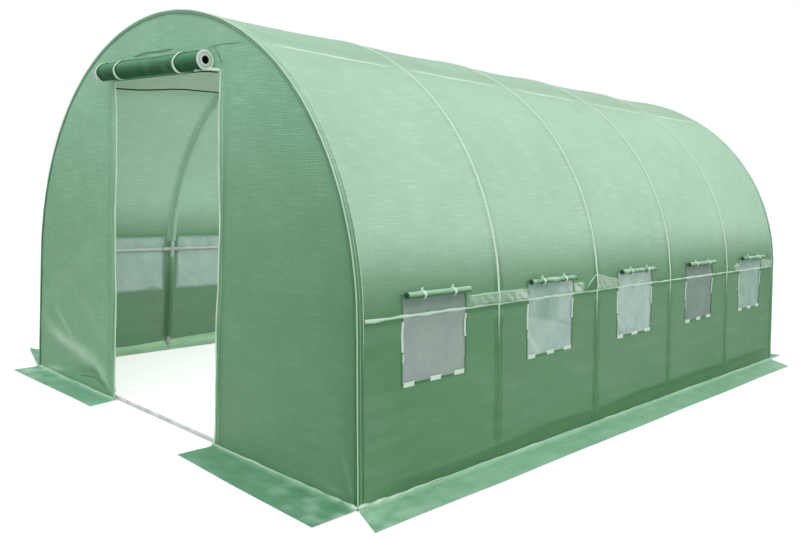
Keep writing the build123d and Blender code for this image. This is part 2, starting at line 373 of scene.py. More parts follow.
foot_shapes = []
for side in (-1, 1):
    leg_way = Vector((-side * sin(lean), 0, cos(lean)))
    for place in hoop_places:
        sockets = [(0, way, 0) for way in (-1, 1) if abs(place + way * bay) < half_length]
        if abs(place) > 2:
            sockets.append((-side, 0, 0))
        middle = Vector((side * base_rail_x, place, base_level))
        grip = middle + leg_way * 0.018
        foot_shapes.append(turned(grip, leg_way, rolled_mouths(0.058, sleeve_radius, hoop_tube)))
        for way in sockets:
            way = Vector(way)
            stations = [(0.004, 0.0115), (0.016, 0.0121), (0.069, 0.0121), (0.072, 0.0125), (0.075, 0.0118)]
            foot_shapes.append(turned(middle, way, [*stations, (0.075, rail_tube)]))
            upright = Vector((0, 0, 1))
            screw_head = [(0.016, 0), (0.016, 0.0055), (0.012, 0.0058), (0.012, 0.0)]
            foot_shapes.append(turned(middle + way * 0.045, upright, screw_head, 6))
feet = build_piece("foot_sleeves", joined(foot_shapes), fitting_paint)
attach(feet, "root")
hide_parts("foot_fittings")


# Ground bars and door frames
# A steel tube lies on the ground across each end, foot to foot. Two posts rise from it
# to the end hoop beside the doorway, with a header tube between them over the door.
post_x = 0.54
header_height = 1.795
bar_end = base_rail_x - rail_end_gap
post_top = crown_z + sqrt((crown_radius - hoop_inset - hoop_tube) ** 2 - post_x**2) - 0.001
for end_name, place in (("front", hoop_places[0]), ("back", hoop_places[-1])):
    reach = np.linspace(-bar_end, bar_end, 24)
    ground_path = [(across, place, base_level) for across in reach]
    bar = build_piece(f"white_{end_name}_ground_bar", round_tube(ground_path, rail_tube, 12), tube_paint)
    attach(bar, "root")
    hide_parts(f"{end_name}_base_bar")
    tubes = []
    for side in (-1, 1):
        rise = np.linspace(base_level + rail_tube + 0.001, post_top, 16)
        tubes.append(round_tube([(side * post_x, place, level) for level in rise], rail_tube, 12))
        tubes += bolt((side * post_x, place, header_height), (0, 1, 0), 0.0135)
        tubes += bolt((side * post_x, place, base_level + 0.03), (0, 1, 0), 0.0135)
    span = np.linspace(-post_x + rail_tube, post_x - rail_tube, 12)
    tubes.append(round_tube([(across, place, header_height) for across in span], rail_tube, 12))
    door_frame = build_piece(f"white_{end_name}_door_frame", joined(tubes), tube_paint)
    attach(door_frame, "root")
    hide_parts(f"{end_name}_door_frame")


# Arched cover
# One width of woven polyethylene with a ten-millimetre rip-stop grid goes over the hoops
# from ground to ground, pulled tight so it dips between them and creases over the rails.
bay_centres = [place + bay / 2 for place in hoop_places[:-1]]
window_sill = 0.455
window_head = 0.825
window_widths = {"right": 0.41, "left": 0.77}


def cloth_finish(name, low, high, foot, crest, see_through=0.0, gloss=0.42, weave=1.0, shine=0.2):
    """Woven polyethylene: coloured low at the foot and high at the crest, a painted gradient for the light
    that falls more on the higher cloth, with tapes, a rip-stop grid of thicker threads, and folds painted
    white where they catch the light and dark where they turn under, as painted highlight and painted shade."""
    finish, tone = start_finish(name)
    spot = tone.node("TexCoord", out=3)
    level = tone.node("SeparateXYZ", {}, {"Vector": spot}, out=2)
    cut = tone.node("UVMap", {"uv_map": "cut"})
    weft = tone.node("SeparateXYZ", {}, {"Vector": cut}, out=0)
    warp = tone.node("SeparateXYZ", {}, {"Vector": cut}, out=1)
    grid = tone.sum("MAXIMUM", weft.wave(0.0105), warp.wave(0.0105)).step(0.35, 0.95)
    tapes = weft.wave(0.0031) * warp.wave(0.0031)
    drift = tone.node("TexNoise", {}, {"Vector": spot, "Scale": 1.7, "Detail": 5.0, "Roughness": 0.6})
    patch = tone.node("TexNoise", {}, {"Vector": spot, "Scale": 7.0, "Detail": 6.0, "Roughness": 0.65})
    slub_place = tone.node("VectorMath", {"operation": "MULTIPLY"}, {0: cut, 1: (150.0, 7.0, 1.0)})
    slub = tone.node("TexNoise", {}, {"Vector": slub_place, "Scale": 1.0, "Detail": 4.0})
    cross_place = tone.node("VectorMath", {"operation": "MULTIPLY"}, {0: cut, 1: (7.0, 150.0, 1.0)})
    cross = tone.node("TexNoise", {}, {"Vector": cross_place, "Scale": 1.0, "Detail": 4.0})
    pale = tone.node("Attribute", {"attribute_name": "pale"}, out=2)
    threads = 0.24 * slub.step(0.48, 0.76) + 0.14 * cross.step(0.50, 0.78)
    threads = threads + (grid - 0.42) * (0.08 + 0.30 * patch.step(0.45, 0.62)) + 0.06 * tapes
    light = 0.945 + 0.06 * drift.step(0.36, 0.70) + 0.05 * patch.step(0.30, 0.55)
    light = light + weave * (threads - 0.05)
    colour = level.step(foot, crest).over(low, high).scaled(light)
    # Below 0 the pale attribute mixes in a dark green as painted shade; above 0 a near white, for stretched
    # cloth and painted highlights.
    colour = (0 - pale).held().over(colour, dye(34, 102, 48))
    colour = pale.held().over(colour, dye(224, 250, 230))
    grain = grid * 0.7 + tapes * 0.25 + slub * 0.5 + patch * 1.2
    bump = tone.node("Bump", {}, {"Strength": 0.35, "Distance": 0.0012, "Height": grain})
    sheen = gloss + patch * 0.22 - grid * 0.05
    values = {"Base Color": colour, "Roughness": sheen, "Normal": bump, "Specular IOR Level": shine}
    front = tone.node("BsdfPrincipled", {}, values)
    if see_through:
        behind = tone.node("BsdfTranslucent", {}, {"Color": (0.72, 0.86, 0.78, 1.0)})
        front = tone.node("MixShader", {}, {0: see_through, 1: front, 2: behind})
    tone.node("OutputMaterial", {}, {"Surface": front})
    return finish


def marks(start, stop, step, musts=()):
    """Values from start to stop, at most step apart, with one on each of the musts."""
    stops = sorted({start, stop, *(float(must) for must in musts if start < must < stop)})
    runs = []
    for low, high in zip(stops, stops[1:]):
        parts = max(1, int(np.ceil((high - low) / step)))
        runs.append(np.linspace(low, high, parts + 1)[:-1])
    return np.concatenate([*runs, [stop]])


def quads(rows, columns, keep=None):
    """The quads of a cloth laid out in rows and columns, less those where keep is False."""
    row, column = np.meshgrid(np.arange(rows - 1), np.arange(columns - 1), indexing="ij")
    corner = row * columns + column
    faces = np.stack([corner, corner + 1, corner + columns + 1, corner + columns], axis=-1)
    return faces.reshape(-1, 4) if keep is None else faces[keep]


def trimmed(points, faces, *extras):
    """The same shape without the points that no face uses any more."""
    used, corners = np.unique(faces, return_inverse=True)
    return (points[used], corners.reshape(faces.shape)), [extra[used] for extra in extras]


def ripples(across, along, seed, longest, shortest, count=14):
    """Fine waves in the cloth: smooth and never twice the same, about 1 high at the most."""
    draw = np.random.default_rng(seed)
    total = 0.0
    for wave in range(count):
        size = longest * (shortest / longest) ** (wave / (count - 1))
        way = draw.uniform(0, pi)
        start = draw.uniform(0, 2 * pi)
        bend = 0.25 * np.sin(2 * pi * (across + along) / (3.1 * size) + start)
        place = across * cos(way) + along * sin(way)
        total = total + size / longest * np.sin(2 * pi * place / size + start + bend)
    return total / 3.5


def crease(across, along, ends, width, height):
    """A fold along a line from one end to the other, fading out past them."""
    (start_across, start_along), (end_across, end_along) = ends
    run_across, run_along = end_across - start_across, end_along - start_along
    length = sqrt(run_across**2 + run_along**2)
    part = ((across - start_across) * run_across + (along - start_along) * run_along) / length**2
    off = ((across - start_across) * run_along - (along - start_along) * run_across) / length
    past = np.maximum(np.maximum(-part, part - 1), 0) * length
    swell = np.clip(4 * np.clip(part, 0, 1) * (1 - np.clip(part, 0, 1)), 0.15, 1) ** 0.5
    return height * swell * np.exp(-((off / width) ** 2)) * np.exp(-((past / (2 * width)) ** 2))


def between(value, low, high, soft):
    """1 where a value lies between low and high, fading over soft at both."""
    rise = np.clip((value - low) / soft + 0.5, 0, 1)
    fall = np.clip((high - value) / soft + 0.5, 0, 1)
    return (rise * rise * (3 - 2 * rise)) * (fall * fall * (3 - 2 * fall))


tuck_height = 0.054
fold_start, fold_peak, fold_rise = -0.585, -0.452, 0.088


def tuck(run, along):
    """How far the slack taken up in a tuck above the right waist rail stands proud: a level
    band from the first window to the third hoop, then a fold that rises to a point."""
    above = arch_run - np.asarray(run, float) - leg_run
    band = between(above, 0.006, tuck_height, 0.010)
    stretch = np.maximum(between(along, -1.57, fold_start, 0.05), between(along, 1.50, 2.22, 0.06) * 0.8)
    rise = np.interp(along, [fold_start, fold_peak, -0.20, -0.16], [0.0, fold_rise, 0.044, 0.0])
    peak = between(above, 0.004, rise, 0.010) * (rise > 0.004)
    return np.maximum(band * stretch, peak)


def cover_fall(run, along):
    """How far the cover's face dips below the true arch, and how pale its cloth is."""
    run, along = np.broadcast_arrays(np.asarray(run, float), np.asarray(along, float))
    up = np.where(run > arch_run / 2, arch_run - run, run)
    in_bay = np.clip((along - first_hoop) / bay, 0, 5)
    from_hoop = np.abs(in_bay - np.round(in_bay)) * 2
    fullness = 1 - (1 - from_hoop) ** 2.2
    dip = 0.0035 * fullness
    spans = ((0.0, leg_run, 0.007), (leg_run, upper_run, 0.017), (upper_run, arch_run / 2, 0.004))
    for low, high, depth in spans:
        part = np.clip((up - low) / (high - low), 0, 1)
        dip = dip + depth * fullness * (4 * part * (1 - part)) ** 0.8
    free = np.clip(from_hoop * 3, 0.15, 1)
    dip = dip - 0.0022 * free * ripples(run, along, 11, 0.9, 0.12)
    dip = dip - 0.0008 * ripples(run * 2.2, along, 12, 0.30, 0.05)
    low_wall = between(up, 0.03, leg_run - 0.02, 0.10)
    dip = dip - 0.0014 * low_wall * free * ripples(run * 3.0, along * 0.8, 13, 0.42, 0.08)
    right = run > arch_run / 2
    folded = np.where(right, tuck(run, along), 0.0)
    crumple = ripples(run * 1.3, along, 14, 0.060, 0.022, 10)
    near_net = np.zeros_like(along)
    for place in (-1.15, -0.63, 0.28, 1.50, 2.12):
        near_net = near_net + np.exp(-(((along - place) / 0.075) ** 2))
    rough = folded * (0.35 + 0.65 * np.clip(near_net, 0, 1))
    dip = dip - folded * 0.0050 - rough * 0.0042 * crumple
    # The tuck is paler as stretched cloth, and its crumples are painted lighter and darker as painted
    # highlight and shade.
    pale = folded * (0.38 + 0.06 * (along > -0.6)) + rough * (0.32 * np.clip(near_net, 0, 1) + 0.55 * crumple)
    above = up - leg_run
    # The face hidden inside the fold and a band under the tuck's edge are painted darker, as painted shade.
    hidden_top = np.interp(along, [fold_start, fold_peak], [0.0, fold_rise])
    hidden_face = between(along, fold_start, fold_peak, 0.004) * between(above, -0.004, hidden_top, 0.01)
    pale = np.where(right & (hidden_face > 0), -0.55 * hidden_face, pale)
    edge_shade = 0.25 + 0.20 * ripples(along, along * 0.5, 15, 0.5, 0.08)
    under_edge = between(above, -0.020, -0.004, 0.008) * right * edge_shade
    pale = pale - np.clip(under_edge, 0, 0.5)
    droop = np.clip(ripples(run * 2.0, along * 0.35, 16, 0.30, 0.05), -1, 1)
    droop = droop * between(up, 0.10, leg_run - 0.05, 0.08)
    past_rail = up - upper_run
    ridge_shade = 0.13 * np.clip(past_rail / 0.05, 0, 1) + 0.14 * np.clip(past_rail / 0.40, 0, 1)
    # Painted a little lighter near the front end below 1.2 m; beside the hoops below the waist as painted
    # light against the shade of the sleeves behind, and along the foot as a painted highlight where the cloth
    # turns in over the ground rail.
    pale = pale + 0.05 * np.exp(-(((along + 2.18) / 0.16) ** 2)) * (up < 1.2)
    wear_and_painted_light = between(from_hoop * bay / 2, -1.0, 0.036, 0.012) * between(up, -1.0, leg_run, 0.10)
    wear_and_painted_light = wear_and_painted_light * (np.abs(along) < 2.1)
    folded_foot = between(up, -1.0, 0.075, 0.03)
    pale = pale + 0.065 * np.maximum(wear_and_painted_light, folded_foot)
    return dip, np.clip(pale + 0.05 * droop - ridge_shade, -0.7, 0.9)


def cover_face(run, along, lift=0.0):
    """Points on the cover's outer face, lifted off it by lift."""
    run, along, lift = np.broadcast_arrays(np.asarray(run, float), np.asarray(along, float), lift)
    dip = cover_fall(run, along)[0]
    x, z = arch_place(run, lift - dip - 0.0012)
    return np.stack([x, along, np.maximum(z, 0.0005)], axis=-1)


def level_run(level):
    """The run up the arch from a foot to a level, on the leg or just above the waist."""
    if level <= waist_height:
        return level / cos(lean)
    return leg_run + shoulder_radius * (asin((level - shoulder_z) / shoulder_radius) - lean)


# The cover is painted paler from 0.74 m up to 1.12 m, painted light for the roof catching more light than the
# walls.
cover_cloth = cloth_finish(
    "cover_cloth",
    low=dye(78, 135, 85), high=dye(184, 224, 196), foot=0.74, crest=1.12, see_through=0.12, weave=0.75,
)
sill_run, head_run = level_run(window_sill), level_run(window_head)
cover_musts = [sill_run, head_run, leg_run, upper_run, arch_run / 2]
cover_musts += [arch_run - must for must in cover_musts]
fine_rows = np.linspace(arch_run - leg_run - 0.10, arch_run - leg_run + 0.025, 22)
cover_runs = marks(0.0, arch_run, 0.031, [*cover_musts, *fine_rows])
window_edges = []
for centre in bay_centres:
    for width in window_widths.values():
        window_edges += [centre - width / 2, centre + width / 2]
cover_alongs = marks(-half_length, half_length, 0.0145, [*window_edges, *hoop_places, fold_start, fold_peak])
run_grid, along_grid = np.meshgrid(cover_runs, cover_alongs, indexing="ij")
cover_points = cover_face(run_grid, along_grid)
cover_pale = cover_fall(run_grid, along_grid)[1]
run_middle = (cover_runs[:-1] + cover_runs[1:])[:, None] / 2
along_middle = (cover_alongs[:-1] + cover_alongs[1:])[None, :] / 2
whole = np.ones((len(cover_runs) - 1, len(cover_alongs) - 1), bool)
for side, width in window_widths.items():
    up_middle = arch_run - run_middle if side == "right" else run_middle
    for centre in bay_centres:
        in_height = (up_middle > sill_run) & (up_middle < head_run)
        whole &= ~(in_height & (np.abs(along_middle - centre) < width / 2))
faces = quads(len(cover_runs), len(cover_alongs), whole)
laid_out = np.stack([run_grid, along_grid], axis=-1).reshape(-1, 2)
shape, (cover_cut, cover_pale) = trimmed(cover_points.reshape(-1, 3), faces, laid_out, cover_pale.reshape(-1))
cover = build_piece("arched_cover", shape, cover_cloth, cover_cut, cover_pale)
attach(cover, "root")
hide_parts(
    "roof_crown", "roof_shoulder_left", "roof_shoulder_right", "side_wall_left", "side_wall_right"
)


# Seams on the cover
# Narrow strips of the same cloth are welded over each hoop, along the upper rails and the
# waist rails, and a hem is stitched round both ends with a cord sewn into its edge.
# The seams, crests and hems are painted paler upwards like the cover, as painted light.
seam_cloth = cloth_finish(
    "seam_cloth", low=dye(106, 156, 114), high=dye(206, 238, 214), foot=0.50, crest=0.80, weave=0.5
)
crest_cloth = cloth_finish(
    "crest_cloth", low=dye(150, 198, 158), high=dye(196, 228, 204), foot=0.6, crest=1.6, weave=0.5
)
hem_cloth = cloth_finish("hem_cloth", low=dye(84, 134, 94), high=dye(156, 200, 170), foot=0.7, crest=1.6)


def laid_band(name, runs, alongs, finish, proud=0.0012, rise=0.0006, pale=None):
    """A strip on the cover between two edges. runs and alongs are grids, one row a step
    along the strip and one column a step across it; its middle stands a little higher."""
    runs, alongs = np.broadcast_arrays(runs, alongs)
    rows, columns = runs.shape
    swell = proud + rise * np.sin(np.linspace(0, pi, columns))[None, :]
    swell = np.broadcast_to(swell, runs.shape).copy()
    swell[:, 0] -= proud * 0.8
    swell[:, -1] -= proud * 0.8
    points = cover_face(runs, alongs, swell)
    laid = np.stack([runs, alongs], axis=-1).reshape(-1, 2)
    white = None if pale is None else np.broadcast_to(pale, runs.shape).reshape(-1)
    band = build_piece(name, (points.reshape(-1, 3), quads(rows, columns)), finish, laid, white)
    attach(band, "root")
    return band


seam_runs = marks(0.0, arch_run, 0.03, cover_musts)[:, None]
for number, place in enumerate(hoop_places[1:-1], start=2):
    up = np.minimum(seam_runs, arch_run - seam_runs)
    half = np.interp(up, [0.0, 0.62, 0.80, 1.6, 2.7], [0.0026, 0.0034, 0.0072, 0.0068, 0.0056])
    wander = 0.0010 * np.sin(seam_runs * 9 + number)
    white = 0.8 * np.clip((up - leg_run + 0.1) / 0.2, 0, 1)
    spread = place + wander + half * np.linspace(-1, 1, 5)[None, :]
    laid_band(f"hoop_seam_{number}", seam_runs, spread, seam_cloth, 0.0018, 0.0016, white)

for side_name, run in (("left", upper_run), ("right", arch_run - upper_run)):
    for number, centre in enumerate(bay_centres, start=1):
        steps = np.linspace(-1, 1, 29)[:, None]
        alongs = centre + 0.44 * bay * steps - 0.012 * bay
        wander = 0.003 * np.sin(5 * steps + number) + 0.006 * steps**2
        taper = 0.0072 * np.sqrt(np.clip(1 - steps**4, 0, 1)) * (1 + 0.2 * np.sin(9 * steps + number))
        runs = run + wander + (taper + 0.0004) * np.linspace(-1, 1, 5)[None, :]
        white = 1.0 - 0.7 * steps**4
        name = f"upper_crest_{side_name}_{number}"
        laid_band(name, runs, alongs, crest_cloth, 0.001, 0.001, white)

for side_name, run in (("left", leg_run), ("right", arch_run - leg_run)):
    width = window_widths[side_name]
    alongs = marks(-half_length + 0.042, half_length - 0.042, 0.02)[:, None]
    wander = 0.0010 * np.sin(alongs * 23) + 0.0007 * np.sin(alongs * 61 + 1)
    half = 0.0042 + 0.0010 * np.sin(alongs * 37) + 0.0034 * np.exp(-(((alongs + 2.16) / 0.10) ** 2))
    whitened_at = [-2.0, -1.5, -1.3, -1.1, -0.7, -0.3, 0.2, 0.4, 2.2]
    white = np.interp(alongs, whitened_at, [0.8, 0.7, 0.25, 0.5, 0.6, 0.4, 0.7, 0.9, 0.8])
    for centre in bay_centres:
        at_net = between(alongs, centre - width / 2 - 0.01, centre + width / 2 + 0.01, 0.03)
        half = half + 0.0022 * at_net
        white = np.maximum(white, at_net)
    runs = run + wander + half * np.linspace(-1, 1, 5)[None, :]
    laid_band(f"waist_crest_{side_name}", runs, alongs, crest_cloth, 0.0012, 0.0022, white)

tuck_lines = {
    "tuck_edge_1": [(-1.566, 0.052), (-1.336, 0.055), (-1.112, 0.052)],
    "tuck_edge_2": [(-0.672, 0.050), (-0.585, 0.044)],
    "fold_edge": [(-0.560, 0.018), (-0.452, 0.090), (-0.340, 0.066), (-0.204, 0.046)],
    "gather_1": [(0.212, 0.034), (0.262, 0.003)],
    "gather_2": [(0.226, -0.034), (0.262, 0.001)],
    "tuck_edge_3": [(1.46, 0.030), (1.572, 0.048)],
    "tuck_edge_4": [(1.995, 0.052), (2.08, 0.060), (2.16, 0.040)],
}
for line_name, stops in tuck_lines.items():
    places, heights = zip(*stops)
    alongs = marks(places[0], places[-1], 0.012)[:, None]
    lifts = np.interp(alongs, places, heights) + 0.0012 * np.sin(alongs * 47)
    ends = np.clip((alongs - places[0]) / 0.03, 0.2, 1) * np.clip((places[-1] - alongs) / 0.03, 0.2, 1)
    runs = arch_run - leg_run - lifts + 0.0026 * ends * np.linspace(-1, 1, 5)[None, :]
    white = 0.75 * ends
    laid_band(line_name, runs, alongs, crest_cloth, 0.0016, 0.0016, white)

for end_name, way in (("front", -1), ("back", 1)):
    for strip_name, outer, inner, finish, proud in (
        ("hem", 0.002, 0.036, hem_cloth, 0.0012),
        ("hem_stitch", 0.0340, 0.0375, seam_cloth, 0.0022),
        ("hem_fold", 0.0160, 0.0190, crest_cloth, 0.0026),
    ):
        spread = way * (half_length - np.linspace(outer, inner, 5)[None, :])
        laid_band(f"{end_name}_{strip_name}", seam_runs, spread, finish, proud, 0.0006)
    edge = cover_face(seam_runs[:, 0], way * (half_length - 0.001), 0.0008)
    cord_shape = round_tube(edge, 0.0034, 10)
    cord_cut = np.repeat(np.stack([seam_runs[:, 0], np.zeros(len(edge))], axis=1), 10, axis=0)
    cord_white = np.full(len(cord_cut), 0.35)
    piping = build_piece(f"{end_name}_piping", cord_shape, crest_cloth, cord_cut, cord_white)
    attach(piping, "root")


# Sleeves and foot fold inside the cover
# The cover's cloth is sewn into sleeves that hold the four middle hoops between their
# fittings, and along both sides its foot is folded in over the ground rail.
# The sleeves are painted paler than the cover, most towards the top, as painted light that hides the shade
# between sleeve and cover.
inside_cloth = cloth_finish(
    "inside_cloth", low=dye(112, 158, 114), high=dye(208, 236, 218), foot=0.42, crest=1.00, see_through=0.15
)
# The foot fold is painted paler than the cover as painted light, and its upper edge lighter still as a
# painted highlight.
foot_fold_cloth = cloth_finish(
    "foot_fold_cloth", low=dye(190, 228, 192), high=dye(190, 228, 192), foot=0.0, crest=1.0
)
fitting_gap = 0.055
sleeve_half = 0.034
foot_fold_half = 2.16
sleeve_spans = [
    (0.10, leg_run - fitting_gap),
    (leg_run + fitting_gap, upper_run - fitting_gap),
    (upper_run + fitting_gap, arch_run / 2 - fitting_gap),
]
sleeve_spans += [(arch_run - high, arch_run - low) for low, high in sleeve_spans]
for number, place in enumerate(hoop_places[1:-1], start=2):
    shapes, cuts = [], []
    for low, high in sleeve_spans:
        runs = marks(low, high, 0.045)[:, None]
        off = np.linspace(-sleeve_half, sleeve_half, 19)[None, :]
        round_hoop = hoop_inset + np.sqrt(np.maximum(0.0150**2 - off**2, 0))
        flare = 0.004 + 0.018 * np.clip((sleeve_half - np.abs(off)) / 0.020, 0, 1) ** 1.6
        depth = np.where(np.abs(off) < 0.0135, round_hoop, flare)
        run_grid, off_grid = np.broadcast_arrays(runs, off)
        dip = cover_fall(run_grid, place + off_grid)[0]
        sleeve_x, sleeve_z = arch_place(run_grid, -np.maximum(depth, dip + 0.004))
        points = np.stack([sleeve_x, place + off_grid, sleeve_z], axis=-1).reshape(-1, 3)
        shapes.append((points, quads(*run_grid.shape)))
        cuts.append(np.stack([run_grid, off_grid], axis=-1).reshape(-1, 2))
    sleeve = build_piece(f"hoop_sleeve_{number}", joined(shapes), inside_cloth, np.concatenate(cuts))
    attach(sleeve, "root")

for side_name, side in (("left", -1), ("right", 1)):
    alongs = marks(-foot_fold_half, foot_fold_half, 0.03)[:, None]
    share = np.linspace(0, 1, 9)[None, :]
    height = 0.055 + 0.020 * (alongs + foot_fold_half) + 0.006 * np.sin(alongs * 5.0)
    height = np.minimum(height, 0.10)
    level = 0.0015 + height * share
    over_rail = 0.024 * np.clip((0.060 - level) / 0.025, 0, 1)
    away = cover_fall(level / cos(lean), alongs)[0] + 0.009 + over_rail + 0.002 * np.sin(alongs * 11) * share
    reach = foot_half - level * tan(lean) - away
    points = np.stack([side * reach, np.broadcast_to(alongs, level.shape), level], axis=-1).reshape(-1, 3)
    laid = np.stack([level, np.broadcast_to(alongs, level.shape)], axis=-1).reshape(-1, 2)
    white = np.broadcast_to(0.25 * share**6, level.shape).reshape(-1)
    fold = build_piece(f"foot_fold_{side_name}", (points, quads(*level.shape)), foot_fold_cloth, laid, white)
    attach(fold, "root")

window_area = sum(len(bay_centres) * width * (head_run - sill_run) for width in window_widths.values())
arch_run * 2 * half_length - window_area


# End walls
# Each end is closed by a flat piece of the same cloth, sewn to the cover round the arch
# and cut away for the doorway, whose edges are bound with a pale tape.
door_half = 0.5
door_top = 1.757
wall_inset = 0.0035
wall_shoulder = shoulder_radius - wall_inset
wall_crown = crown_radius - wall_inset
shoulder_level = shoulder_z + wall_shoulder * sin(shoulder_end)
corner_level = crown_z + sqrt(wall_crown**2 - door_half**2)
# The end walls are painted paler towards the top, painted light for the light coming through the roof behind
# them.
wall_cloth = cloth_finish(
    "wall_cloth",
    low=dye(116, 169, 126), high=dye(145, 201, 168), foot=0.9, crest=1.90, see_through=0.12, weave=1.2,
)
# Darker cloth for the hem round the arch and the door's lintel, painted paler upwards; it also makes thin
# dark strips along creases in the end walls, painted shade in the folds.
wall_hem_and_fold_shade_cloth = cloth_finish(
    "wall_hem_and_fold_shade_cloth", low=dye(78, 128, 88), high=dye(116, 166, 132), foot=0.5, crest=1.9
)


def half_width(level):
    """Half the wall's width at a level, up to the inside of the cover."""
    level = np.asarray(level, float)
    foot = shoulder_x + wall_shoulder * cos(lean) + (shoulder_z + wall_shoulder * sin(lean)) * tan(lean)
    on_leg = foot - level * tan(lean)
    bend = shoulder_x + np.sqrt(np.maximum(wall_shoulder**2 - (level - shoulder_z) ** 2, 0))
    top = np.sqrt(np.maximum(wall_crown**2 - (level - crown_z) ** 2, 0))
    return np.where(level < waist_height, on_leg, np.where(level < shoulder_level, bend, top))


# Creases in the end walls: their two ends, width, how far each stands out, and how much lighter each is
# painted, below 0 darker, as painted highlight and shade.
wall_folds = (
    (((-1.42, 0.34), (-1.10, 0.22)), 0.045, 0.5, 0.20),
    (((-1.30, 0.26), (-0.88, 0.205)), 0.034, 0.9, 0.34),
    (((-0.95, 0.215), (-0.66, 0.155)), 0.048, 1.0, 0.38),
    (((-0.70, 0.165), (-0.60, 0.085)), 0.036, 0.7, 0.32),
    (((-0.62, 0.10), (-0.53, 0.03)), 0.026, 0.6, 0.28),
    (((-1.24, 0.42), (-1.02, 0.27)), 0.016, 0.5, 0.26),
    (((-0.92, 0.095), (-0.70, 0.112)), 0.026, -0.9, -0.50),
    (((-0.74, 0.112), (-0.575, 0.045)), 0.022, -0.8, -0.44),
    (((-1.40, 0.02), (-1.14, 0.050)), 0.014, 0.8, 0.45),
    (((-1.05, 0.62), (-0.55, 0.30)), 0.035, 0.3, 0.05),
    (((1.475, 0.02), (1.40, 0.20)), 0.012, 0.8, 0.30),
    (((1.45, 0.02), (1.22, 0.06)), 0.014, 0.6, 0.20),
    (((-0.55, 1.05), (-1.10, 1.30)), 0.030, 0.4, 0.04),
    (((0.60, 0.20), (1.20, 0.10)), 0.030, 0.3, 0.05),
    (((-0.53, 1.86), (-0.45, 1.60)), 0.025, 0.4, 0.06),
)


def wall_bulge(across, level):
    """How far an end wall's face stands in front of its own plane, and how pale it is. The panel right of the
    door is painted darker than the one left of it, as painted shade, and its creases carry painted highlights
    and shade."""
    edge = np.clip((half_width(level) - np.abs(across)) / 0.10, 0, 1)
    foot = np.clip(level / 0.05, 0, 1)
    out = 0.0030 * ripples(across, level, 21, 1.1, 0.16) * edge
    out = out + 0.0010 * ripples(across * 1.5, level, 22, 0.22, 0.05)
    streaks, pale = 0.0, 0.0
    for ends, width, height, light in wall_folds:
        swell = crease(across, level, ends, width, 1.0)
        streaks = streaks + height * swell
        pale = pale + light * swell
    out = out + 0.006 * streaks
    # Painted shade: the panel right of the door is darker, most low down.
    panel = np.clip((across - 0.30) / 0.25, 0, 1)
    painted_shade_right = 0.37 * panel * (1 - np.clip((level - 0.75) / 1.05, 0, 1)) + 0.05 * panel * (level < 0.8)
    # Painted shade in the corner on that side low down, and painted light at the top.
    corner = 0.16 * np.clip((across - 1.33) / 0.15, 0, 1) * (level < 1.2)
    top_light = 0.10 * np.clip((level - 1.6) / 0.4, 0, 1)
    mottle = 0.05 * ripples(across, level * 1.3, 23, 0.5, 0.07)
    return out * foot, np.clip(pale - painted_shade_right - corner + top_light + mottle, -0.8, 0.7)


def wall_place(across, level, way, lift=0.0):
    """Points on an end wall's outer face. The door's edges wander a little."""
    near_edge = np.exp(-(((np.abs(across) - door_half) / 0.10) ** 2)) * (level < door_top + 0.02)
    drift = 0.0040 * np.sin(level * 7.3 + 0.6) + 0.0018 * np.sin(level * 19.0)
    belly = np.where(across > 0, 0.012 * np.sin(pi * np.clip(level / door_top, 0, 1)), 0.022)
    out = wall_bulge(across, level)[0]
    face = half_length - 0.0016 + out * 0.8 + lift
    return np.stack([across + near_edge * (drift * np.sign(across) + belly), way * face, level], axis=-1)


def strip_frame(path, name, finish, width, thick, facing, cut_along, pale=None):
    """A flat bound edge with a rounded back, laid along a path and facing one way. Its
    width may change along the path."""
    path = np.asarray(path, float)
    width = np.broadcast_to(width, len(path))[:, None]
    heading = np.gradient(path, axis=0)
    heading /= np.linalg.norm(heading, axis=1)[:, None]
    facing = np.broadcast_to(np.asarray(facing, float), path.shape)
    side = np.cross(heading, facing)
    side /= np.linalg.norm(side, axis=1)[:, None]
    spread = (
        (-0.5, 0.0), (-0.46, 0.7), (-0.2, 1.0), (0.2, 1.0),
        (0.46, 0.7), (0.5, 0.0), (0.46, -0.6), (-0.46, -0.6),
    )
    rings = [path + side * width * off + facing * thick * rise for off, rise in spread]
    points = np.stack(rings, axis=1).reshape(-1, 3)
    count = len(spread)
    faces = ring_faces(len(path), count)
    faces.append(tuple(range(count))[::-1])
    faces.append(tuple(range((len(path) - 1) * count, len(path) * count)))
    across_cut = np.tile(np.linspace(0, float(width.mean()), count), len(path))
    cut = np.stack([np.repeat(cut_along, count), across_cut], axis=1)
    white = None if pale is None else np.repeat(np.broadcast_to(pale, len(path)), count)
    strip = build_piece(name, (points, faces), finish, cut, white)
    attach(strip, "root")
    return strip


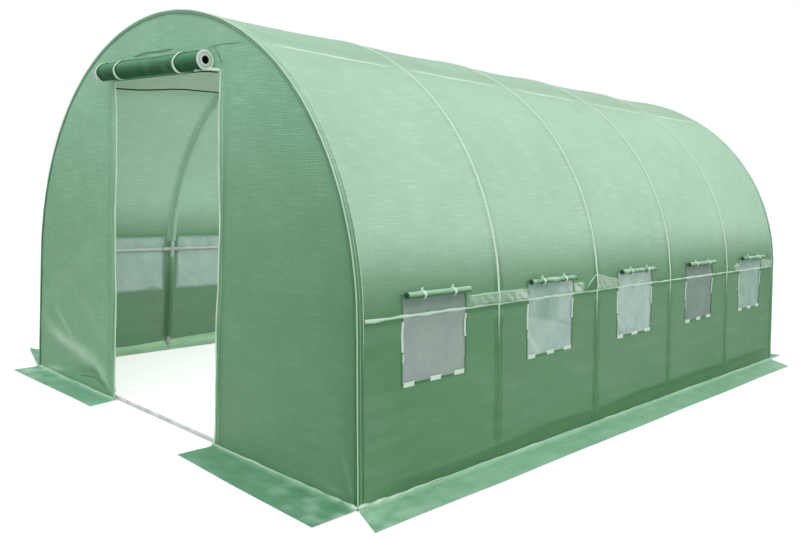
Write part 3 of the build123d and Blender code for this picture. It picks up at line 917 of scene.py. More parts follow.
edge_tape = cloth_finish(
    "edge_tape", low=dye(206, 242, 212), high=dye(222, 248, 226), foot=0.0, crest=1.8, weave=0.3
)
side_levels = np.concatenate([marks(0.0, door_top, 0.0135), marks(door_top, corner_level, 0.015)[1:]])
panel_share = np.linspace(0, 1, 77)
top_share = np.linspace(0, 1, len(side_levels) - len(marks(0.0, door_top, 0.0135)) + 1)
top_columns = np.linspace(-door_half, door_half, 77)
end_walls = []
for end_name, way in (("front", -1), ("back", 1)):
    parts, cuts, pales, quad_sets, count = [], [], [], [], 0
    for side in (-1, 1):
        level_grid = np.repeat(side_levels[:, None], len(panel_share), axis=1)
        outer = half_width(side_levels)[:, None]
        across_grid = side * (door_half + (outer - door_half) * panel_share[None, :])
        grid = quads(*level_grid.shape)
        quad_sets.append((grid[:, ::-1] if side * way > 0 else grid) + count)
        parts.append(wall_place(across_grid, level_grid, way).reshape(-1, 3))
        cuts.append(np.stack([level_grid, across_grid], axis=-1).reshape(-1, 2))
        pales.append(wall_bulge(across_grid, level_grid)[1].reshape(-1))
        count += across_grid.size
    across_grid = np.repeat(top_columns[:, None], len(top_share), axis=1)
    ceiling = crown_z + np.sqrt(wall_crown**2 - top_columns**2)
    level_grid = door_top + (ceiling[:, None] - door_top) * top_share[None, :]
    grid = quads(*level_grid.shape)
    quad_sets.append((grid if way > 0 else grid[:, ::-1]) + count)
    parts.append(wall_place(across_grid, level_grid, way).reshape(-1, 3))
    cuts.append(np.stack([level_grid, across_grid], axis=-1).reshape(-1, 2))
    pales.append(wall_bulge(across_grid, level_grid)[1].reshape(-1))
    wall_shape = (np.concatenate(parts), np.concatenate(quad_sets))
    wall_cut, wall_pale = np.concatenate(cuts), np.concatenate(pales)
    wall = build_piece(f"{end_name}_end_wall", wall_shape, wall_cloth, wall_cut, wall_pale)
    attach(wall, "root")
    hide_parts(f"{end_name}_wall_left", f"{end_name}_wall_right", f"{end_name}_wall_top")

    out_way = (0, way, 0)
    for side_name, side in (("left", -1), ("right", 1)):
        rise = marks(0.004, door_top, 0.02)
        path = wall_place(np.full_like(rise, side * door_half), rise, way, 0.0004)
        width = 0.0085 + 0.0015 * np.sin(rise * 31)
        white = 0.5 + 0.3 * np.sin(rise * 13)
        name = f"{end_name}_door_binding_{side_name}"
        strip_frame(path, name, edge_tape, width, 0.0024, out_way, rise, white)
        path = wall_place(np.full_like(rise, side * (door_half + 0.026)), rise, way, 0.0002)
        white = 0.15 + 0.25 * np.sin(rise * 9 + 1)
        name = f"{end_name}_door_stitch_{side_name}"
        strip_frame(path, name, hem_cloth, 0.004, 0.0010, out_way, rise, white)
    arch_runs = marks(0.02, arch_run - 0.02, 0.04)
    hem_x, hem_z = arch_place(arch_runs, -0.0115)
    hem_path = np.stack([hem_x, np.full_like(hem_x, way * (half_length + 0.0012)), hem_z], axis=1)
    name = f"{end_name}_arch_hem"
    strip_frame(hem_path, name, wall_hem_and_fold_shade_cloth, 0.011, 0.0012, out_way, arch_runs)
    across = np.linspace(-door_half, door_half, 40)
    lintel = wall_place(across, np.full_like(across, door_top), way, 0.0004)
    name = f"{end_name}_door_lintel_binding"
    strip_frame(lintel, name, wall_hem_and_fold_shade_cloth, 0.006, 0.0016, out_way, across)

    # Thin dark strips along creases in each end wall, painted shade in the folds around the door roll, at its
    # corner, left of it and near the foot.
    fold_shade_lines = {
        "roll_fold_1": ([(-0.30, 1.872), (-0.12, 1.880), (0.10, 1.878)], 0.0110),
        "roll_fold_2": ([(0.40, 1.862), (0.52, 1.868), (0.68, 1.864)], 0.0055),
        "corner_fold_1": ([(0.440, 1.876), (0.512, 1.785)], 0.0095),
        "corner_fold_2": ([(0.466, 1.880), (0.524, 1.765)], 0.0060),
        "left_fold": ([(-0.62, 1.846), (-0.40, 1.858)], 0.0070),
        "foot_fold": ([(-0.93, 0.060), (-0.72, 0.085), (-0.60, 0.050)], 0.0050),
    }
    for fold_name, (stops, wide) in fold_shade_lines.items():
        fold_across, fold_level = (np.array(part) for part in zip(*stops))
        across = marks(float(fold_across[0]), float(fold_across[-1]), 0.015)
        level = np.interp(across, fold_across, fold_level) + 0.0015 * np.sin(across * 29)
        ends = np.clip(np.minimum(across - across[0], across[-1] - across) / 0.05, 0.15, 1)
        path = wall_place(across, level, way, 0.0003)
        name = f"{end_name}_{fold_name}"
        pressed = strip_frame(path, name, wall_hem_and_fold_shade_cloth, wide * ends, 0.0009, out_way, across, -0.25 * ends)

    span = wall_shape[0][:, 0].max() * 2
    outline_level = np.linspace(0, crown_z + wall_crown, 400)
    level_step = outline_level[1] - outline_level[0]
    wall_area = float(np.sum(half_width(outline_level[:-1])) * 2 * level_step) - 2 * door_half * door_top
    end_walls.append(wall)


# Inner flap over the upper rails
# A strip of cloth is sewn inside each shoulder to cover the upper rail. Its lower edge is left free and hangs
# in slow waves, with a hem made dark as the painted shadow under the edge.
lining_cloth = cloth_finish(
    "lining_cloth", low=dye(196, 218, 196), high=dye(204, 224, 204), foot=1.5, crest=1.9
)
# A dark green for the lining's hem, painted shadow under its edge, and for the inside of rolls, painted shade
# in their hollows; it also makes the dark hem under the door flap's tail.
dark_hem_and_painted_shade = cloth_finish("dark_hem_and_painted_shade", low=dye(34, 66, 46), high=dye(34, 66, 46), foot=0.0, crest=1.8)
lining_half = 2.19
lining_above = 0.16
for side_name, foot_run, up_way in (("left", upper_run, 1), ("right", arch_run - upper_run, -1)):
    alongs = marks(-lining_half, lining_half, 0.03)
    share = np.linspace(0, 1, 9)
    places = (-lining_half, -2.03, -1.86, -1.69, -1.49, -1.31, -0.9, -0.3, 0.4, 1.1, 1.7, lining_half)
    drops = (0.115, 0.116, 0.100, 0.056, 0.054, 0.034, 0.060, 0.045, 0.080, 0.050, 0.075, 0.060)
    lower = np.convolve(np.pad(np.interp(alongs, places, drops), 3, "edge"), np.ones(7) / 7, "valid")
    runs = foot_run + up_way * (lining_above - (lining_above + lower[:, None]) * share[None, :])
    hang = 0.036 + 0.016 * share[None, :] ** 2 + 0.005 * np.sin(alongs * 5.2)[:, None] * share[None, :]
    flap_x, flap_z = arch_place(runs, -hang)
    flap_points = np.stack([flap_x, np.repeat(alongs[:, None], 9, axis=1), flap_z], axis=-1)
    laid = np.stack([runs, np.repeat(alongs[:, None], 9, axis=1)], axis=-1).reshape(-1, 2)
    lining_shape = (flap_points.reshape(-1, 3), quads(len(alongs), 9))
    lining = build_piece(f"rail_lining_{side_name}", lining_shape, lining_cloth, laid)
    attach(lining, "root")
    hem_shape = round_tube(flap_points[:, -1], 0.0048, 8)
    hem_cut = np.repeat(np.stack([alongs, np.zeros_like(alongs)], axis=1), 8, axis=0)
    hem = build_piece(f"rail_lining_hem_{side_name}", hem_shape, dark_hem_and_painted_shade, hem_cut)
    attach(hem, "root")


# Windows
# Each side has five windows of fine insect net sewn behind the opening, with hook tape on
# the sill and down the sides. The flap that closes it is rolled up and tied over its head.
def net_finish(name, light, dark):
    """Fine knitted net: small open holes between pale threads, loose wrinkles across it."""
    finish, tone = start_finish(name)
    cut = tone.node("UVMap", {"uv_map": "cut"})
    weft = tone.node("SeparateXYZ", {}, {"Vector": cut}, out=0)
    warp = tone.node("SeparateXYZ", {}, {"Vector": cut}, out=1)
    spot = tone.node("TexCoord", out=3)
    drift = tone.node("TexNoise", {}, {"Vector": spot, "Scale": 9.0, "Detail": 6.0})
    drawn_place = tone.node("VectorMath", {"operation": "MULTIPLY"}, {0: cut, 1: (5.0, 90.0, 1.0)})
    drawn = tone.node("TexNoise", {}, {"Vector": drawn_place, "Scale": 1.0, "Detail": 3.0})
    mesh = tone.sum("MAXIMUM", weft.wave(0.006), warp.wave(0.006)).step(0.0, 0.9)
    pale = tone.node("Attribute", {"attribute_name": "pale"}, out=2)
    colour = drift.step(0.35, 0.65).over(dark, light)
    colour = colour.scaled(0.95 + 0.06 * drawn.step(0.40, 0.70) + 0.10 * mesh)
    # The pale attribute paints the net darker below 0 and lighter above 0, as painted shade and highlight on
    # its folds.
    colour = (0 - pale).held().over(colour, dye(96, 128, 112))
    colour = pale.held().over(colour, dye(226, 244, 232))
    bump = tone.node("Bump", {}, {"Strength": 0.4, "Distance": 0.0008, "Height": mesh})
    solid = 0.84 + 0.12 * mesh
    values = {"Base Color": colour, "Roughness": 0.7, "Normal": bump, "Alpha": solid}
    net = tone.node("BsdfPrincipled", {}, values)
    tone.node("OutputMaterial", {}, {"Surface": net})
    return finish


grey_net = net_finish("grey_net", dye(144, 164, 154), dye(136, 156, 148))
pale_net = net_finish("pale_net", dye(172, 204, 190), dye(158, 192, 180))
hook_tape = cloth_finish(
    "hook_tape", low=dye(224, 246, 228), high=dye(228, 248, 232), foot=0.0, crest=1.2, gloss=0.6, weave=0.3
)
# The rolled window flaps are painted dark underneath and pale on top, as painted shade and light; the cloth
# at their ends is a dark green, painted shade in the roll's end.
flap_cloth = cloth_finish(
    "rolled_flap_cloth", low=dye(72, 124, 84), high=dye(178, 222, 190), foot=0.818, crest=0.840, weave=0.6
)
flap_end_cloth = cloth_finish(
    "flap_end_cloth", low=dye(58, 98, 70), high=dye(66, 106, 78), foot=0.0, crest=1.0, weave=0.2
)


def rolled_cloth(
    middle, axis, up, length, inner, outer, turns, seed, crumple, finish, edge_finish, name
):
    """A flap rolled on itself: a spiral of cloth from its core out to the last turn, wrinkled along its
    length, the wrinkles of its outer turns painted lighter and darker as painted highlight and shade. All but
    about the last turn take edge_finish. Returns the piece and the cloth's length across the roll."""
    axis, up = Vector(axis).normalized(), Vector(up).normalized()
    side = axis.cross(up)
    steps = int(turns * 20)
    share = np.linspace(0, 1, steps + 1)
    turn = 2 * pi * turns * share
    rows = marks(-length / 2, length / 2, length / 44)
    row_grid, turn_grid = np.meshgrid(rows, turn, indexing="ij")
    reach = inner + (outer - inner) * share[None, :]
    loose = ripples(row_grid, np.cos(turn_grid) * outer, seed, 0.16, 0.030)
    drawn = ripples(row_grid * 0.5, np.sin(turn_grid) * outer, seed + 7, 0.20, 0.05)
    outside = np.clip((share[None, :] * turns - turns + 1.6) / 0.6, 0, 1)
    reach = reach * (1 + crumple * (loose + 0.5 * drawn - 0.6) * outside)
    along = row_grid[..., None] * np.array(axis)
    ring = np.cos(turn_grid)[..., None] * np.array(up) + np.sin(turn_grid)[..., None] * np.array(side)
    points = np.array(middle) + along + reach[..., None] * ring
    run = np.concatenate([[0], np.cumsum(np.diff(turn) * (reach.mean(axis=0)[:-1]))])
    laid = np.stack([np.repeat(run[None, :], len(rows), axis=0), row_grid], axis=-1).reshape(-1, 2)
    white = np.clip(24 * crumple**2 * (loose + 0.3 * drawn) * outside, -0.5, 0.6)
    shape = (points.reshape(-1, 3), quads(len(rows), len(turn)))
    piece = build_piece(name, shape, finish, laid, white.reshape(-1))
    piece.data.materials.append(edge_finish)
    column = np.tile(np.arange(len(turn) - 1), len(rows) - 1)
    within = column < (turns - 1.04) * 20
    piece.data.polygons.foreach_set("material_index", within.astype(int))
    return piece, float(run[-1])


def tie(middle, axis, up, radius, width, name, knot=0.0, tilt=0.35):
    """A ribbon tied round a roll. knot is the length of the two tails on top of it."""
    axis, up = Vector(axis).normalized(), Vector(up).normalized()
    side = axis.cross(up)
    turn = np.linspace(0, 2 * pi, 33)
    ring = []
    for angle in turn:
        slant = axis * (tilt * width * max(cos(angle), 0))
        ring.append(Vector(middle) + slant + (up * cos(angle) + side * sin(angle)) * radius)
    path = np.array([tuple(point) for point in ring])
    outward = path - np.array(middle)
    outward -= np.outer(outward @ np.array(axis), np.array(axis))
    outward /= np.linalg.norm(outward, axis=1)[:, None]
    wide = width * (1 + 0.25 * np.cos(turn * 3 + radius * 900))
    ribbons = [strip_frame(path, name, hook_tape, wide, 0.0014, outward, turn * radius, 0.9)]
    for number, way in enumerate((-1, 1), start=1):
        if not knot:
            break
        share = np.linspace(0, 1, 7)
        top = np.array(middle) + np.array(up) * radius + np.array(axis) * tilt * width
        rise = np.outer(share, np.array(up) * knot * (0.9 if way > 0 else 0.6))
        spread = np.outer(share**1.5, np.array(axis) * way * knot * 0.45)
        facing = np.array(side) * (1 if side.x > 0 else -1)
        tail = top + rise + spread
        narrow = width * (0.75 - 0.35 * share)
        tail_name = f"{name}_tail_{number}"
        ribbons.append(strip_frame(tail, tail_name, hook_tape, narrow, 0.0008, facing, share * knot, 0.4))
    return ribbons


def roll_end(name, middle, axis, up, inner, outer, turns, finish, end_shade, rim_white):
    """The end of a roll: the edges of its turns side by side, the innermost standing out. end_shade darkens
    the whole end, as painted shade in the roll's end; the crest of each turn's edge is painted lighter than
    the gaps between turns, which stay darker as painted shade, and rim_white lightens the innermost and
    outermost turns.
    """
    axis, up = Vector(axis).normalized(), Vector(up).normalized()
    side = axis.cross(up)
    reach, angle = np.meshgrid(np.linspace(inner, outer, 31), np.linspace(0, 2 * pi, 37), indexing="ij")
    share = (reach - inner) / (outer - inner)
    crest = np.abs(np.sin(pi * (share * turns - angle / (2 * pi))))
    out = (outer - inner) * (0.09 * np.sqrt(crest) + 0.11 * (1 - share))
    ring = np.cos(angle)[..., None] * np.array(up) + np.sin(angle)[..., None] * np.array(side)
    points = np.array(middle) + out[..., None] * np.array(axis) + reach[..., None] * ring
    laid = np.stack([reach, angle * 0.03], axis=-1).reshape(-1, 2)
    white = end_shade + 0.12 * np.clip(crest * 1.6, 0, 1) + rim_white * ((share < 0.26) | (share > 0.66))
    disc = build_piece(name, (points.reshape(-1, 3), quads(*reach.shape)), finish, laid, white.reshape(-1))
    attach(disc, "root")
    return disc


# Folds in some window nets: the start and end of each on the net, and how much lighter it is painted, below 0
# darker, as painted highlight and shade; its size also sets how deep it is.
net_folds = {
    2: [
        ((0.02, 0.36), (0.075, 0.20), 0.5),
        ((0.39, 0.24), (0.325, 0.37), -0.5),
        ((0.365, 0.20), (0.385, 0.33), 0.5),
        ((0.01, 0.12), (0.10, 0.015), 0.6),
    ],
    3: [
        ((0.015, 0.11), (0.10, 0.02), 0.6),
        ((0.03, 0.30), (0.39, 0.295), 0.25),
        ((0.30, 0.33), (0.38, 0.10), 0.25),
    ],
    5: [
        ((0.39, 0.20), (0.34, 0.36), -0.5),
        ((0.02, 0.10), (0.12, 0.02), 0.5),
        ((0.05, 0.30), (0.09, 0.14), 0.3),
    ],
}
for side_name, side in (("right", 1), ("left", -1)):
    width = window_widths[side_name]
    for number, centre in enumerate(bay_centres, start=1):
        def run_at(up):
            return arch_run - up if side > 0 else up

        # net
        fine = 0.0105 if side > 0 else 0.016
        up_steps = marks(sill_run - 0.010, head_run + 0.006, fine, [leg_run])
        low_y, high_y = centre - width / 2, centre + width / 2
        along_steps = marks(low_y - 0.010, high_y + 0.010, fine)
        up_grid, along_grid = np.meshgrid(up_steps, along_steps, indexing="ij")
        inside = between(up_grid, sill_run, head_run, 0.03) * between(along_grid, low_y, high_y, 0.03)
        slack = ripples(up_grid, along_grid, 40 + 5 * side + number, 0.22, 0.04)
        loose = 0.3 if number in (1, 4) else 1.0
        pressed = 1 - np.exp(-(((up_grid - leg_run) / 0.05) ** 2))
        depth = -0.0030 + 0.0030 * loose * slack * inside - 0.0030 * inside * pressed
        # The slack in the net is painted lighter and darker with its ripples, as painted highlight and shade.
        white = 0.10 * loose * slack
        scale = width / window_widths["right"]
        for start, stop, strength in net_folds.get(number, []):
            ends = tuple((sill_run + rise, low_y + reach * scale) for reach, rise in (start, stop))
            fold = crease(up_grid, along_grid, ends, 0.010, 1.0)
            depth = depth + 0.0035 * abs(strength) * fold * inside
            white = white + 0.6 * strength * fold
        dip = cover_fall(run_at(up_grid), along_grid)[0]
        net_x, net_z = arch_place(run_at(up_grid), depth - dip)
        net_points = np.stack([net_x, along_grid, net_z], axis=-1)
        white = np.clip(white, -0.6, 0.8)
        laid = np.stack([up_grid, along_grid], axis=-1).reshape(-1, 2)
        net_cloth = grey_net if number in (1, 4) and side > 0 else pale_net
        net_shape = (net_points.reshape(-1, 3), quads(*up_grid.shape))
        name = f"window_net_{side_name}_{number}"
        net = build_piece(name, net_shape, net_cloth, laid, white.reshape(-1))
        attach(net, "root")
        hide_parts(f"window_nets_{side_name}")

        # hook tape on the sill and down the sides
        patches = []
        tab_half, tab_up = 0.035, 0.0105
        for tab, place in enumerate((-0.40, 0.02, 0.40)):
            middle = centre + place * width
            ups = sill_run + 0.002 + 0.003 * (tab - 1) + np.linspace(-tab_up, tab_up, 4)[:, None]
            alongs = middle + np.linspace(-tab_half, tab_half, 9)[None, :]
            patches.append((f"sill_tape_{side_name}_{number}_{tab + 1}", ups, alongs))
        for tab, way in enumerate((-1, 1), start=1):
            reach = np.linspace(-0.115 + 0.012 * way, 0.0, 9)[:, None]
            bow = 0.003 * np.sin(reach * 27)
            alongs = centre + way * (width / 2 - 0.001) + bow + np.linspace(-0.0065, 0.0065, 3)[None, :]
            ups = leg_run - 0.022 + reach
            patches.append((f"side_tape_{side_name}_{number}_{tab}", ups, alongs))
        scrap_ups = sill_run + 0.11 + np.linspace(-0.018, 0.018, 5)[:, None]
        scrap_alongs = low_y + 0.004 + np.linspace(-0.005, 0.006, 3)[None, :]
        patches.append((f"side_patch_{side_name}_{number}", scrap_ups, scrap_alongs))
        trims = []
        for patch_name, ups, alongs in patches:
            grid_up, grid_along = np.broadcast_arrays(ups, alongs)
            trims.append(laid_band(patch_name, run_at(grid_up), grid_along, hook_tape, 0.0020, 0.0014, 0.5))

        # binding round the opening
        side_steps = marks(sill_run, head_run, 0.03)
        loop_up = [*side_steps, *([head_run] * 20), *side_steps[::-1], *([sill_run] * 20), sill_run]
        across_steps = np.linspace(low_y, high_y, 22)[1:-1]
        count = len(side_steps)
        loop_along = [*([low_y] * count), *across_steps, *([high_y] * count), *across_steps[::-1], low_y]
        edge_path = cover_face(run_at(np.array(loop_up)), np.array(loop_along), 0.0006)
        face_way = np.tile([side * cos(lean), 0.0, sin(lean)], (len(edge_path), 1))
        edge_run = np.linspace(0, 2 * (width + 0.4), len(edge_path))
        name = f"window_binding_{side_name}_{number}"
        trims.append(strip_frame(edge_path, name, hem_cloth, 0.0045, 0.0008, face_way, edge_run))

        # rolled flap and its ties
        roll_x, roll_z = arch_place(run_at(head_run), 0.0165)
        middle = (float(roll_x), centre + 0.012 * sin(3 * number), float(roll_z))
        crumple = 0.03 if number in (1, 4) or side < 0 else 0.14
        roll_wide = width - 0.006
        # Its inner turns take the dark green of painted shade inside the roll.
        roll, roll_length = rolled_cloth(
            middle, (0, 1, 0), (0, 0, 1), roll_wide, 0.004, 0.0155, 6.4, 60 + number + side, crumple,
            flap_cloth, dark_hem_and_painted_shade, f"window_flap_{side_name}_{number}",
        )
        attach(roll, "root")
        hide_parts(f"window_flaps_{side_name}")
        for tie_number, share in enumerate((-0.24, 0.24), start=1):
            place = (middle[0], middle[1] + share * width * (1.05 if tie_number == 1 else 0.95), middle[2])
            name = f"flap_tie_{side_name}_{number}_{tie_number}"
            trims += tie(place, (0, 1, 0.10), (0, 0, 1), 0.0172, 0.015, name, 0.014, -0.5)
        ends = []
        for way in (-1, 1):
            face = (middle[0], middle[1] + way * (width / 2 - 0.0025), middle[2])
            name = f"flap_end_{side_name}_{number}_{'near' if way < 0 else 'far'}"
            ends.append(
                roll_end(name, face, (0, way, 0), (0, 0, 1), 0.0035, 0.0138, 3.5, flap_end_cloth, -0.45, 0.25)
            )


# Door flaps
# The cloth cut from each doorway stays sewn to its head. It is rolled up from the bottom
# on itself, inside out, and held over the doorway by three tied ribbons.
door_roll_middle = -0.045
door_roll_length = 0.99
door_roll_level = 1.797
# The rolled door flap is painted dark underneath and pale on top, as painted shade and painted light on the
# roll.
door_flap_cloth = cloth_finish(
    "door_flap_cloth",
    low=dye(24, 84, 48), high=dye(102, 160, 124), foot=1.762, crest=1.842, weave=0.8, shine=0.05,
)
flap_inside = cloth_finish(
    "flap_inside", low=dye(176, 198, 180), high=dye(186, 206, 190), foot=1.5, crest=2.0
)
roll_edge_cloth = cloth_finish(
    "roll_edge_cloth", low=dye(244, 252, 246), high=dye(244, 252, 246), foot=0.0, crest=1.0, weave=0.2
)


for end_name, way in (("front", -1), ("back", 1)):
    middle = (door_roll_middle, way * (half_length + 0.0475), door_roll_level)
    roll, roll_length = rolled_cloth(
        middle, (1, 0, 0), (0, 0, 1), door_roll_length, 0.0195, 0.0465, 7.0, 81, 0.045,
        door_flap_cloth, flap_inside, f"{end_name}_door_flap",
    )
    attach(roll, "root")
    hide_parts(f"{end_name}_door_roll")
    ribbons = []
    for number, side in enumerate((-1, 1), start=1):
        face = (middle[0] + side * (door_roll_length / 2 + 0.0005), middle[1], middle[2])
        name = f"{end_name}_roll_end_{number}"
        ribbons.append(
            roll_end(name, face, (side, 0, 0), (0, 0, 1), 0.0190, 0.0462, 4.0, roll_edge_cloth, -0.42, 0.36)
        )
    # A dark tube inside the roll, painted shade in its hollow middle.
    core_reach = np.linspace(-door_roll_length / 2 + 0.001, door_roll_length / 2 - 0.001, 20)
    core_path = [(middle[0] + reach, middle[1], middle[2]) for reach in core_reach]
    core_cut = np.repeat(np.stack([core_reach, core_reach * 0], axis=1), 20, axis=0)
    core = build_piece(f"{end_name}_roll_hollow_shade", round_tube(core_path, 0.0188, 20, False), dark_hem_and_painted_shade, core_cut)
    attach(core, "root")
    ribbons.append(core)
    for number, place in enumerate((-0.520, -0.320, 0.250), start=1):
        name = f"{end_name}_door_tie_{number}"
        tied_at = (place, middle[1], middle[2])
        ribbons += tie(tied_at, (1, 0.05, 0.08), (0, 0, 1), 0.0476, 0.017, name, 0.0, 1.5)
    share = np.linspace(0, 1, 12)
    tail_out = way * (half_length + 0.060 - 0.054 * share)
    tail_up = 1.7545 + 0.004 * np.sin(pi * share)
    tail_path = np.stack([0.385 + 0.125 * share, tail_out, tail_up], axis=1)
    tail_width = 0.016 - 0.004 * share
    tail_way, tail_cut = (0.2, way * 0.95, 0.2), share * 0.13
    name = f"{end_name}_flap_tail"
    ribbons.append(strip_frame(tail_path, name, hook_tape, tail_width, 0.0010, tail_way, tail_cut, 0.3))
    under = tail_path - np.array([0.02, 0, 0.0105])
    ribbons.append(strip_frame(under, f"{name}_hem", dark_hem_and_painted_shade, 0.0055, 0.0010, tail_way, tail_cut))
    wall = end_walls[0 if way < 0 else 1]


# Skirts
# Flaps of the cover's cloth are left long at the foot and lie out on the ground to be
# weighted or buried: one along each side, and one beside each doorway at both ends.
# One cloth in three colours: darker on the right end flaps, paler on the left ones and palest on the side
# flaps, as painted shade and painted light.
skirt_cloth, side_skirt_cloth, left_skirt_cloth, base_crease = (
    cloth_finish(name, low=colour, high=colour, foot=0.0, crest=1.0)
    for name, colour in (
        ("skirt_cloth", dye(112, 168, 134)),
        ("side_skirt_cloth", dye(148, 200, 166)),
        ("left_skirt_cloth", dye(132, 188, 156)),
        ("base_crease", dye(150, 198, 164)),
    )
)


def skirt(name, node, inner, outer, finish, seed, near_corner, raised=0.0):
    """A flap on the ground between an inner edge along the wall's foot and an outer edge,
    each given by its two ends. It lifts a little where it is folded from the wall, and the
    fold is crumpled towards near_corner, 0 or 1 along it. Its last corner may stand raised."""
    inner, outer = np.array(inner, float), np.array(outer, float)
    length = float(np.linalg.norm(inner[1] - inner[0]))
    reaches = np.linalg.norm(outer - inner, axis=1)
    reach = float(reaches.max())
    outs = marks(0.0, 1.0, 0.012 / reach)[:, None]
    runs = marks(0.0, 1.0, 0.022 / length)[None, :]
    out_grid, run_grid = np.broadcast_arrays(outs, runs)
    wave = ripples(out_grid * reach * 1.2, run_grid * length, seed, 0.8, 0.10)
    fine = ripples(out_grid * reach, run_grid * length, seed + 100, 0.2, 0.05)
    lift = 0.0012 + 0.0045 * np.clip(0.4 + 0.6 * wave, 0, 1) + 0.0012 * np.clip(fine, 0, 1)
    lift = lift + 0.010 * np.exp(-((out_grid * reach / 0.018) ** 2))
    lift = np.maximum(lift * (1 - 0.5 * out_grid), 0.0006)
    lift = lift + raised * out_grid**1.5 * np.clip(1 - (1 - run_grid) * length / 0.45, 0, 1) ** 1.5
    foot = inner[0] + (inner[1] - inner[0]) * run_grid[..., None]
    edge = outer[0] + (outer[1] - outer[0]) * run_grid[..., None]
    wavy = (1 - 0.006 * (1 + np.sin(run_grid * length * 5 + seed)) / reach * 0.5) * out_grid
    flat_points = foot + (edge - foot) * wavy[..., None]
    points = np.concatenate([flat_points, lift[..., None]], axis=-1)
    laid = np.stack([out_grid * reach, run_grid * length], axis=-1).reshape(-1, 2)
    corner = np.exp(-(((run_grid - near_corner) * length / 0.30) ** 2))
    # The skirt is painted lighter along its fold by the wall and with its ripples, and lighter and darker on
    # the crumples near the corner, as painted highlights and shade.
    at_fold = 0.35 * np.exp(-((out_grid * reach / 0.02) ** 2))
    white = 0.10 * wave + 0.08 * fine + at_fold + 0.30 * corner * fine
    faces = quads(*out_grid.shape)
    across = (edge - foot)[0, 0]
    along = inner[1] - inner[0]
    if across[0] * along[1] - across[1] * along[0] < 0:
        faces = faces[:, ::-1]
    piece = build_piece(name, (points.reshape(-1, 3), faces), finish, laid, white.reshape(-1))
    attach(piece, "root")
    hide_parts(node)
    run = runs[0] * length
    wander = 0.0016 * np.sin(run * 17 + seed) + 0.0012 * np.sin(run * 43)
    crumpled = np.exp(-(((runs[0] - near_corner) * length / 0.28) ** 2))
    out_way = np.array([*(outer.mean(axis=0) - inner.mean(axis=0)), 0.0])
    out_way /= np.linalg.norm(out_way)
    height = 0.0105 + wander + 0.004 * crumpled * np.sin(run * 60)
    foot_path = np.column_stack([foot[0], height]) + out_way * 0.005
    facing = out_way * 0.6 + np.array([0, 0, 0.8])
    width = 0.0085 + 0.0090 * crumpled + 0.0015 * np.sin(run * 23)
    # The fold strip is painted pale with lighter and darker crumples along it, as painted highlights and
    # shade.
    white = 0.40 + 0.35 * crumpled * np.sin(run * 71) + 0.2 * np.sin(run * 7)
    trim = strip_frame(foot_path, f"{name}_fold", base_crease, width, 0.0030, facing, run, white)
    inner_side, outer_side = inner[1] - inner[0], outer[1] - outer[0]
    near_half = abs(np.cross(outer[0] - inner[0], inner_side)) / 2
    far_half = abs(np.cross(outer_side, inner[1] - outer[1])) / 2


side_face, wall_line = foot_half + 0.0005, half_length + 0.0005
for side_name, side in (("left", -1), ("right", 1)):
    inner = [(side * side_face, -side * half_length), (side * side_face, side * half_length)]
    outer = [(side * 1.6905, -side * 2.34), (side * 1.6905, 2.10 if side > 0 else -2.235)]
    raised = 0.0 if side > 0 else 0.085
    name = f"side_flap_{side_name}"
    skirt(name, f"side_skirt_{side_name}", inner, outer, side_skirt_cloth, 31 + side, 0, raised)
    for end_name, way in (("front", -1), ("back", 1)):
        door_reach, corner_reach = (0.20, 0.24) if side > 0 else (0.16, 0.16)
        door_end, door_tip = (door_half, door_half) if side > 0 else (0.478, 0.455)
        inner = [(side * door_end, way * wall_line), (side * foot_half, way * wall_line)]
        outer = [
            (side * door_tip, way * (half_length + door_reach)),
            (side * foot_half, way * (half_length + corner_reach)),
        ]
        name = f"{end_name}_flap_{side_name}"
        cloth = skirt_cloth if side > 0 else left_skirt_cloth
        skirt(name, f"{end_name}_skirt_{side_name}", inner, outer, cloth, 35 + side + 2 * way, 1)


# Floor, light and camera
# The greenhouse stands on a plain white floor that fades into a white background, in soft
# even light from above and as much again inside as thin cloth would let through.
floor_mesh = bpy.data.meshes.new("studio_floor")
floor_mesh.from_pydata([(-60, -60, 0), (60, -60, 0), (60, 60, 0), (-60, 60, 0)], [], [(0, 1, 2, 3)])
floor = bpy.data.objects.new("studio_floor", floor_mesh)
bpy.context.scene.collection.objects.link(floor)
floor_paint, tone = start_finish("studio_floor_paint")
path = tone.node("LightPath", out=0)
glossy = tone.node("LightPath", out=3)
through = tone.node("LightPath", out=6)
seen = (path + glossy + through).held()
ground = tone.node("BsdfDiffuse", {}, {"Color": (0.60, 0.60, 0.60, 1.0)})
lift_light = tone.node("Emission", {}, {"Color": (1.0, 1.0, 1.0, 1.0), "Strength": 0.60})
dark = tone.node("Emission", {}, {"Color": (0.0, 0.0, 0.0, 1.0), "Strength": 0.0})
extra = tone.node("MixShader", {}, {0: seen, 1: dark, 2: lift_light})
both = tone.node("AddShader", {}, {0: ground, 1: extra})
tone.node("OutputMaterial", {}, {"Surface": both})
floor_mesh.materials.append(floor_paint)

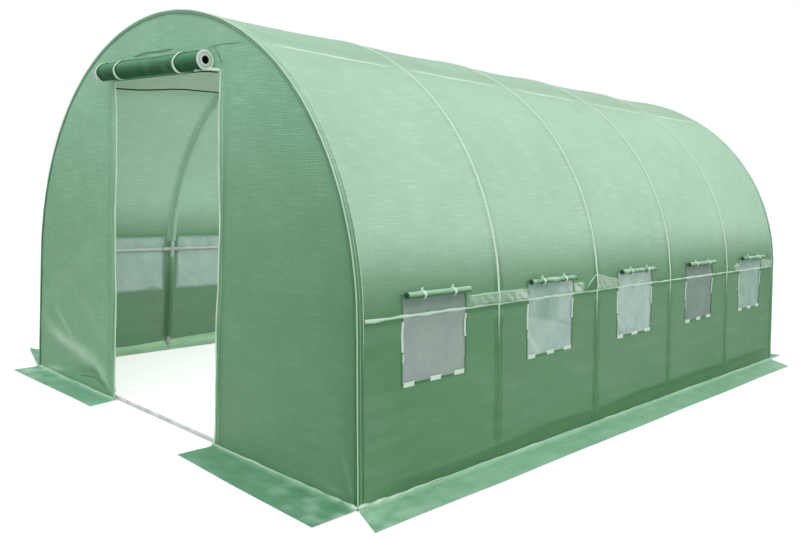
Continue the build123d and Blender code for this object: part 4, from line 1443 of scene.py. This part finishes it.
world = bpy.data.worlds.new("studio_sky")
bpy.context.scene.world = world
world.use_nodes = True
world.node_tree.nodes.clear()
sky = Tone(world.node_tree)
direct = sky.node("LightPath", out=0)
shine = sky.node("LightPath", out=3)
clear_way = sky.node("LightPath", out=6)
shown = (direct + shine + clear_way).held()
soft = sky.node("Background", {}, {"Color": (1.0, 1.0, 1.0, 1.0), "Strength": 0.72})
white = sky.node("Background", {}, {"Color": (1.0, 1.0, 1.0, 1.0), "Strength": 1.0})
sky_mix = sky.node("MixShader", {}, {0: shown, 1: soft, 2: white})
sky.node("OutputWorld", {}, {"Surface": sky_mix})

high_light = bpy.data.lights.new("high_softbox", "SUN")
high_light.energy = 0.85
high_light.angle = radians(60)
holder = bpy.data.objects.new("high_softbox", high_light)
holder.rotation_euler = Vector((-0.30, 0.35, -1.0)).to_track_quat("-Z", "Y").to_euler()
bpy.context.scene.collection.objects.link(holder)

inside_light = bpy.data.lights.new("inside_softbox", "AREA")
inside_light.shape = "RECTANGLE"
inside_light.size = 0.8
inside_light.size_y = 3.8
inside_light.energy = 31
holder = bpy.data.objects.new("inside_softbox", inside_light)
holder.location = (0, 0, 1.96)
holder.visible_camera = False
holder.visible_glossy = False
bpy.context.scene.collection.objects.link(holder)

yaw, pitch, roll = -0.7583, -0.1117, 0.0419
standpoint = (3.6749, -4.3633, 1.2988)
focal_length, picture_width = 805.6, 800
ahead = Vector((sin(yaw) * cos(pitch), cos(yaw) * cos(pitch), sin(pitch)))
level_right = Vector((cos(yaw), -sin(yaw), 0))
level_up = level_right.cross(ahead)
camera_right = level_right * cos(roll) + level_up * sin(roll)
camera_up = -level_right * sin(roll) + level_up * cos(roll)
lens = bpy.data.cameras.new("viewpoint")
lens.sensor_width = 36.0
lens.sensor_fit = "HORIZONTAL"
lens.lens = focal_length / picture_width * lens.sensor_width
viewpoint = bpy.data.objects.new("viewpoint", lens)
turned_to = Matrix((camera_right, camera_up, -ahead)).transposed().to_4x4()
viewpoint.matrix_world = Matrix.Translation(standpoint) @ turned_to
bpy.context.scene.collection.objects.link(viewpoint)
bpy.context.scene.camera = viewpoint
bpy.context.scene.view_settings.view_transform = "Standard"
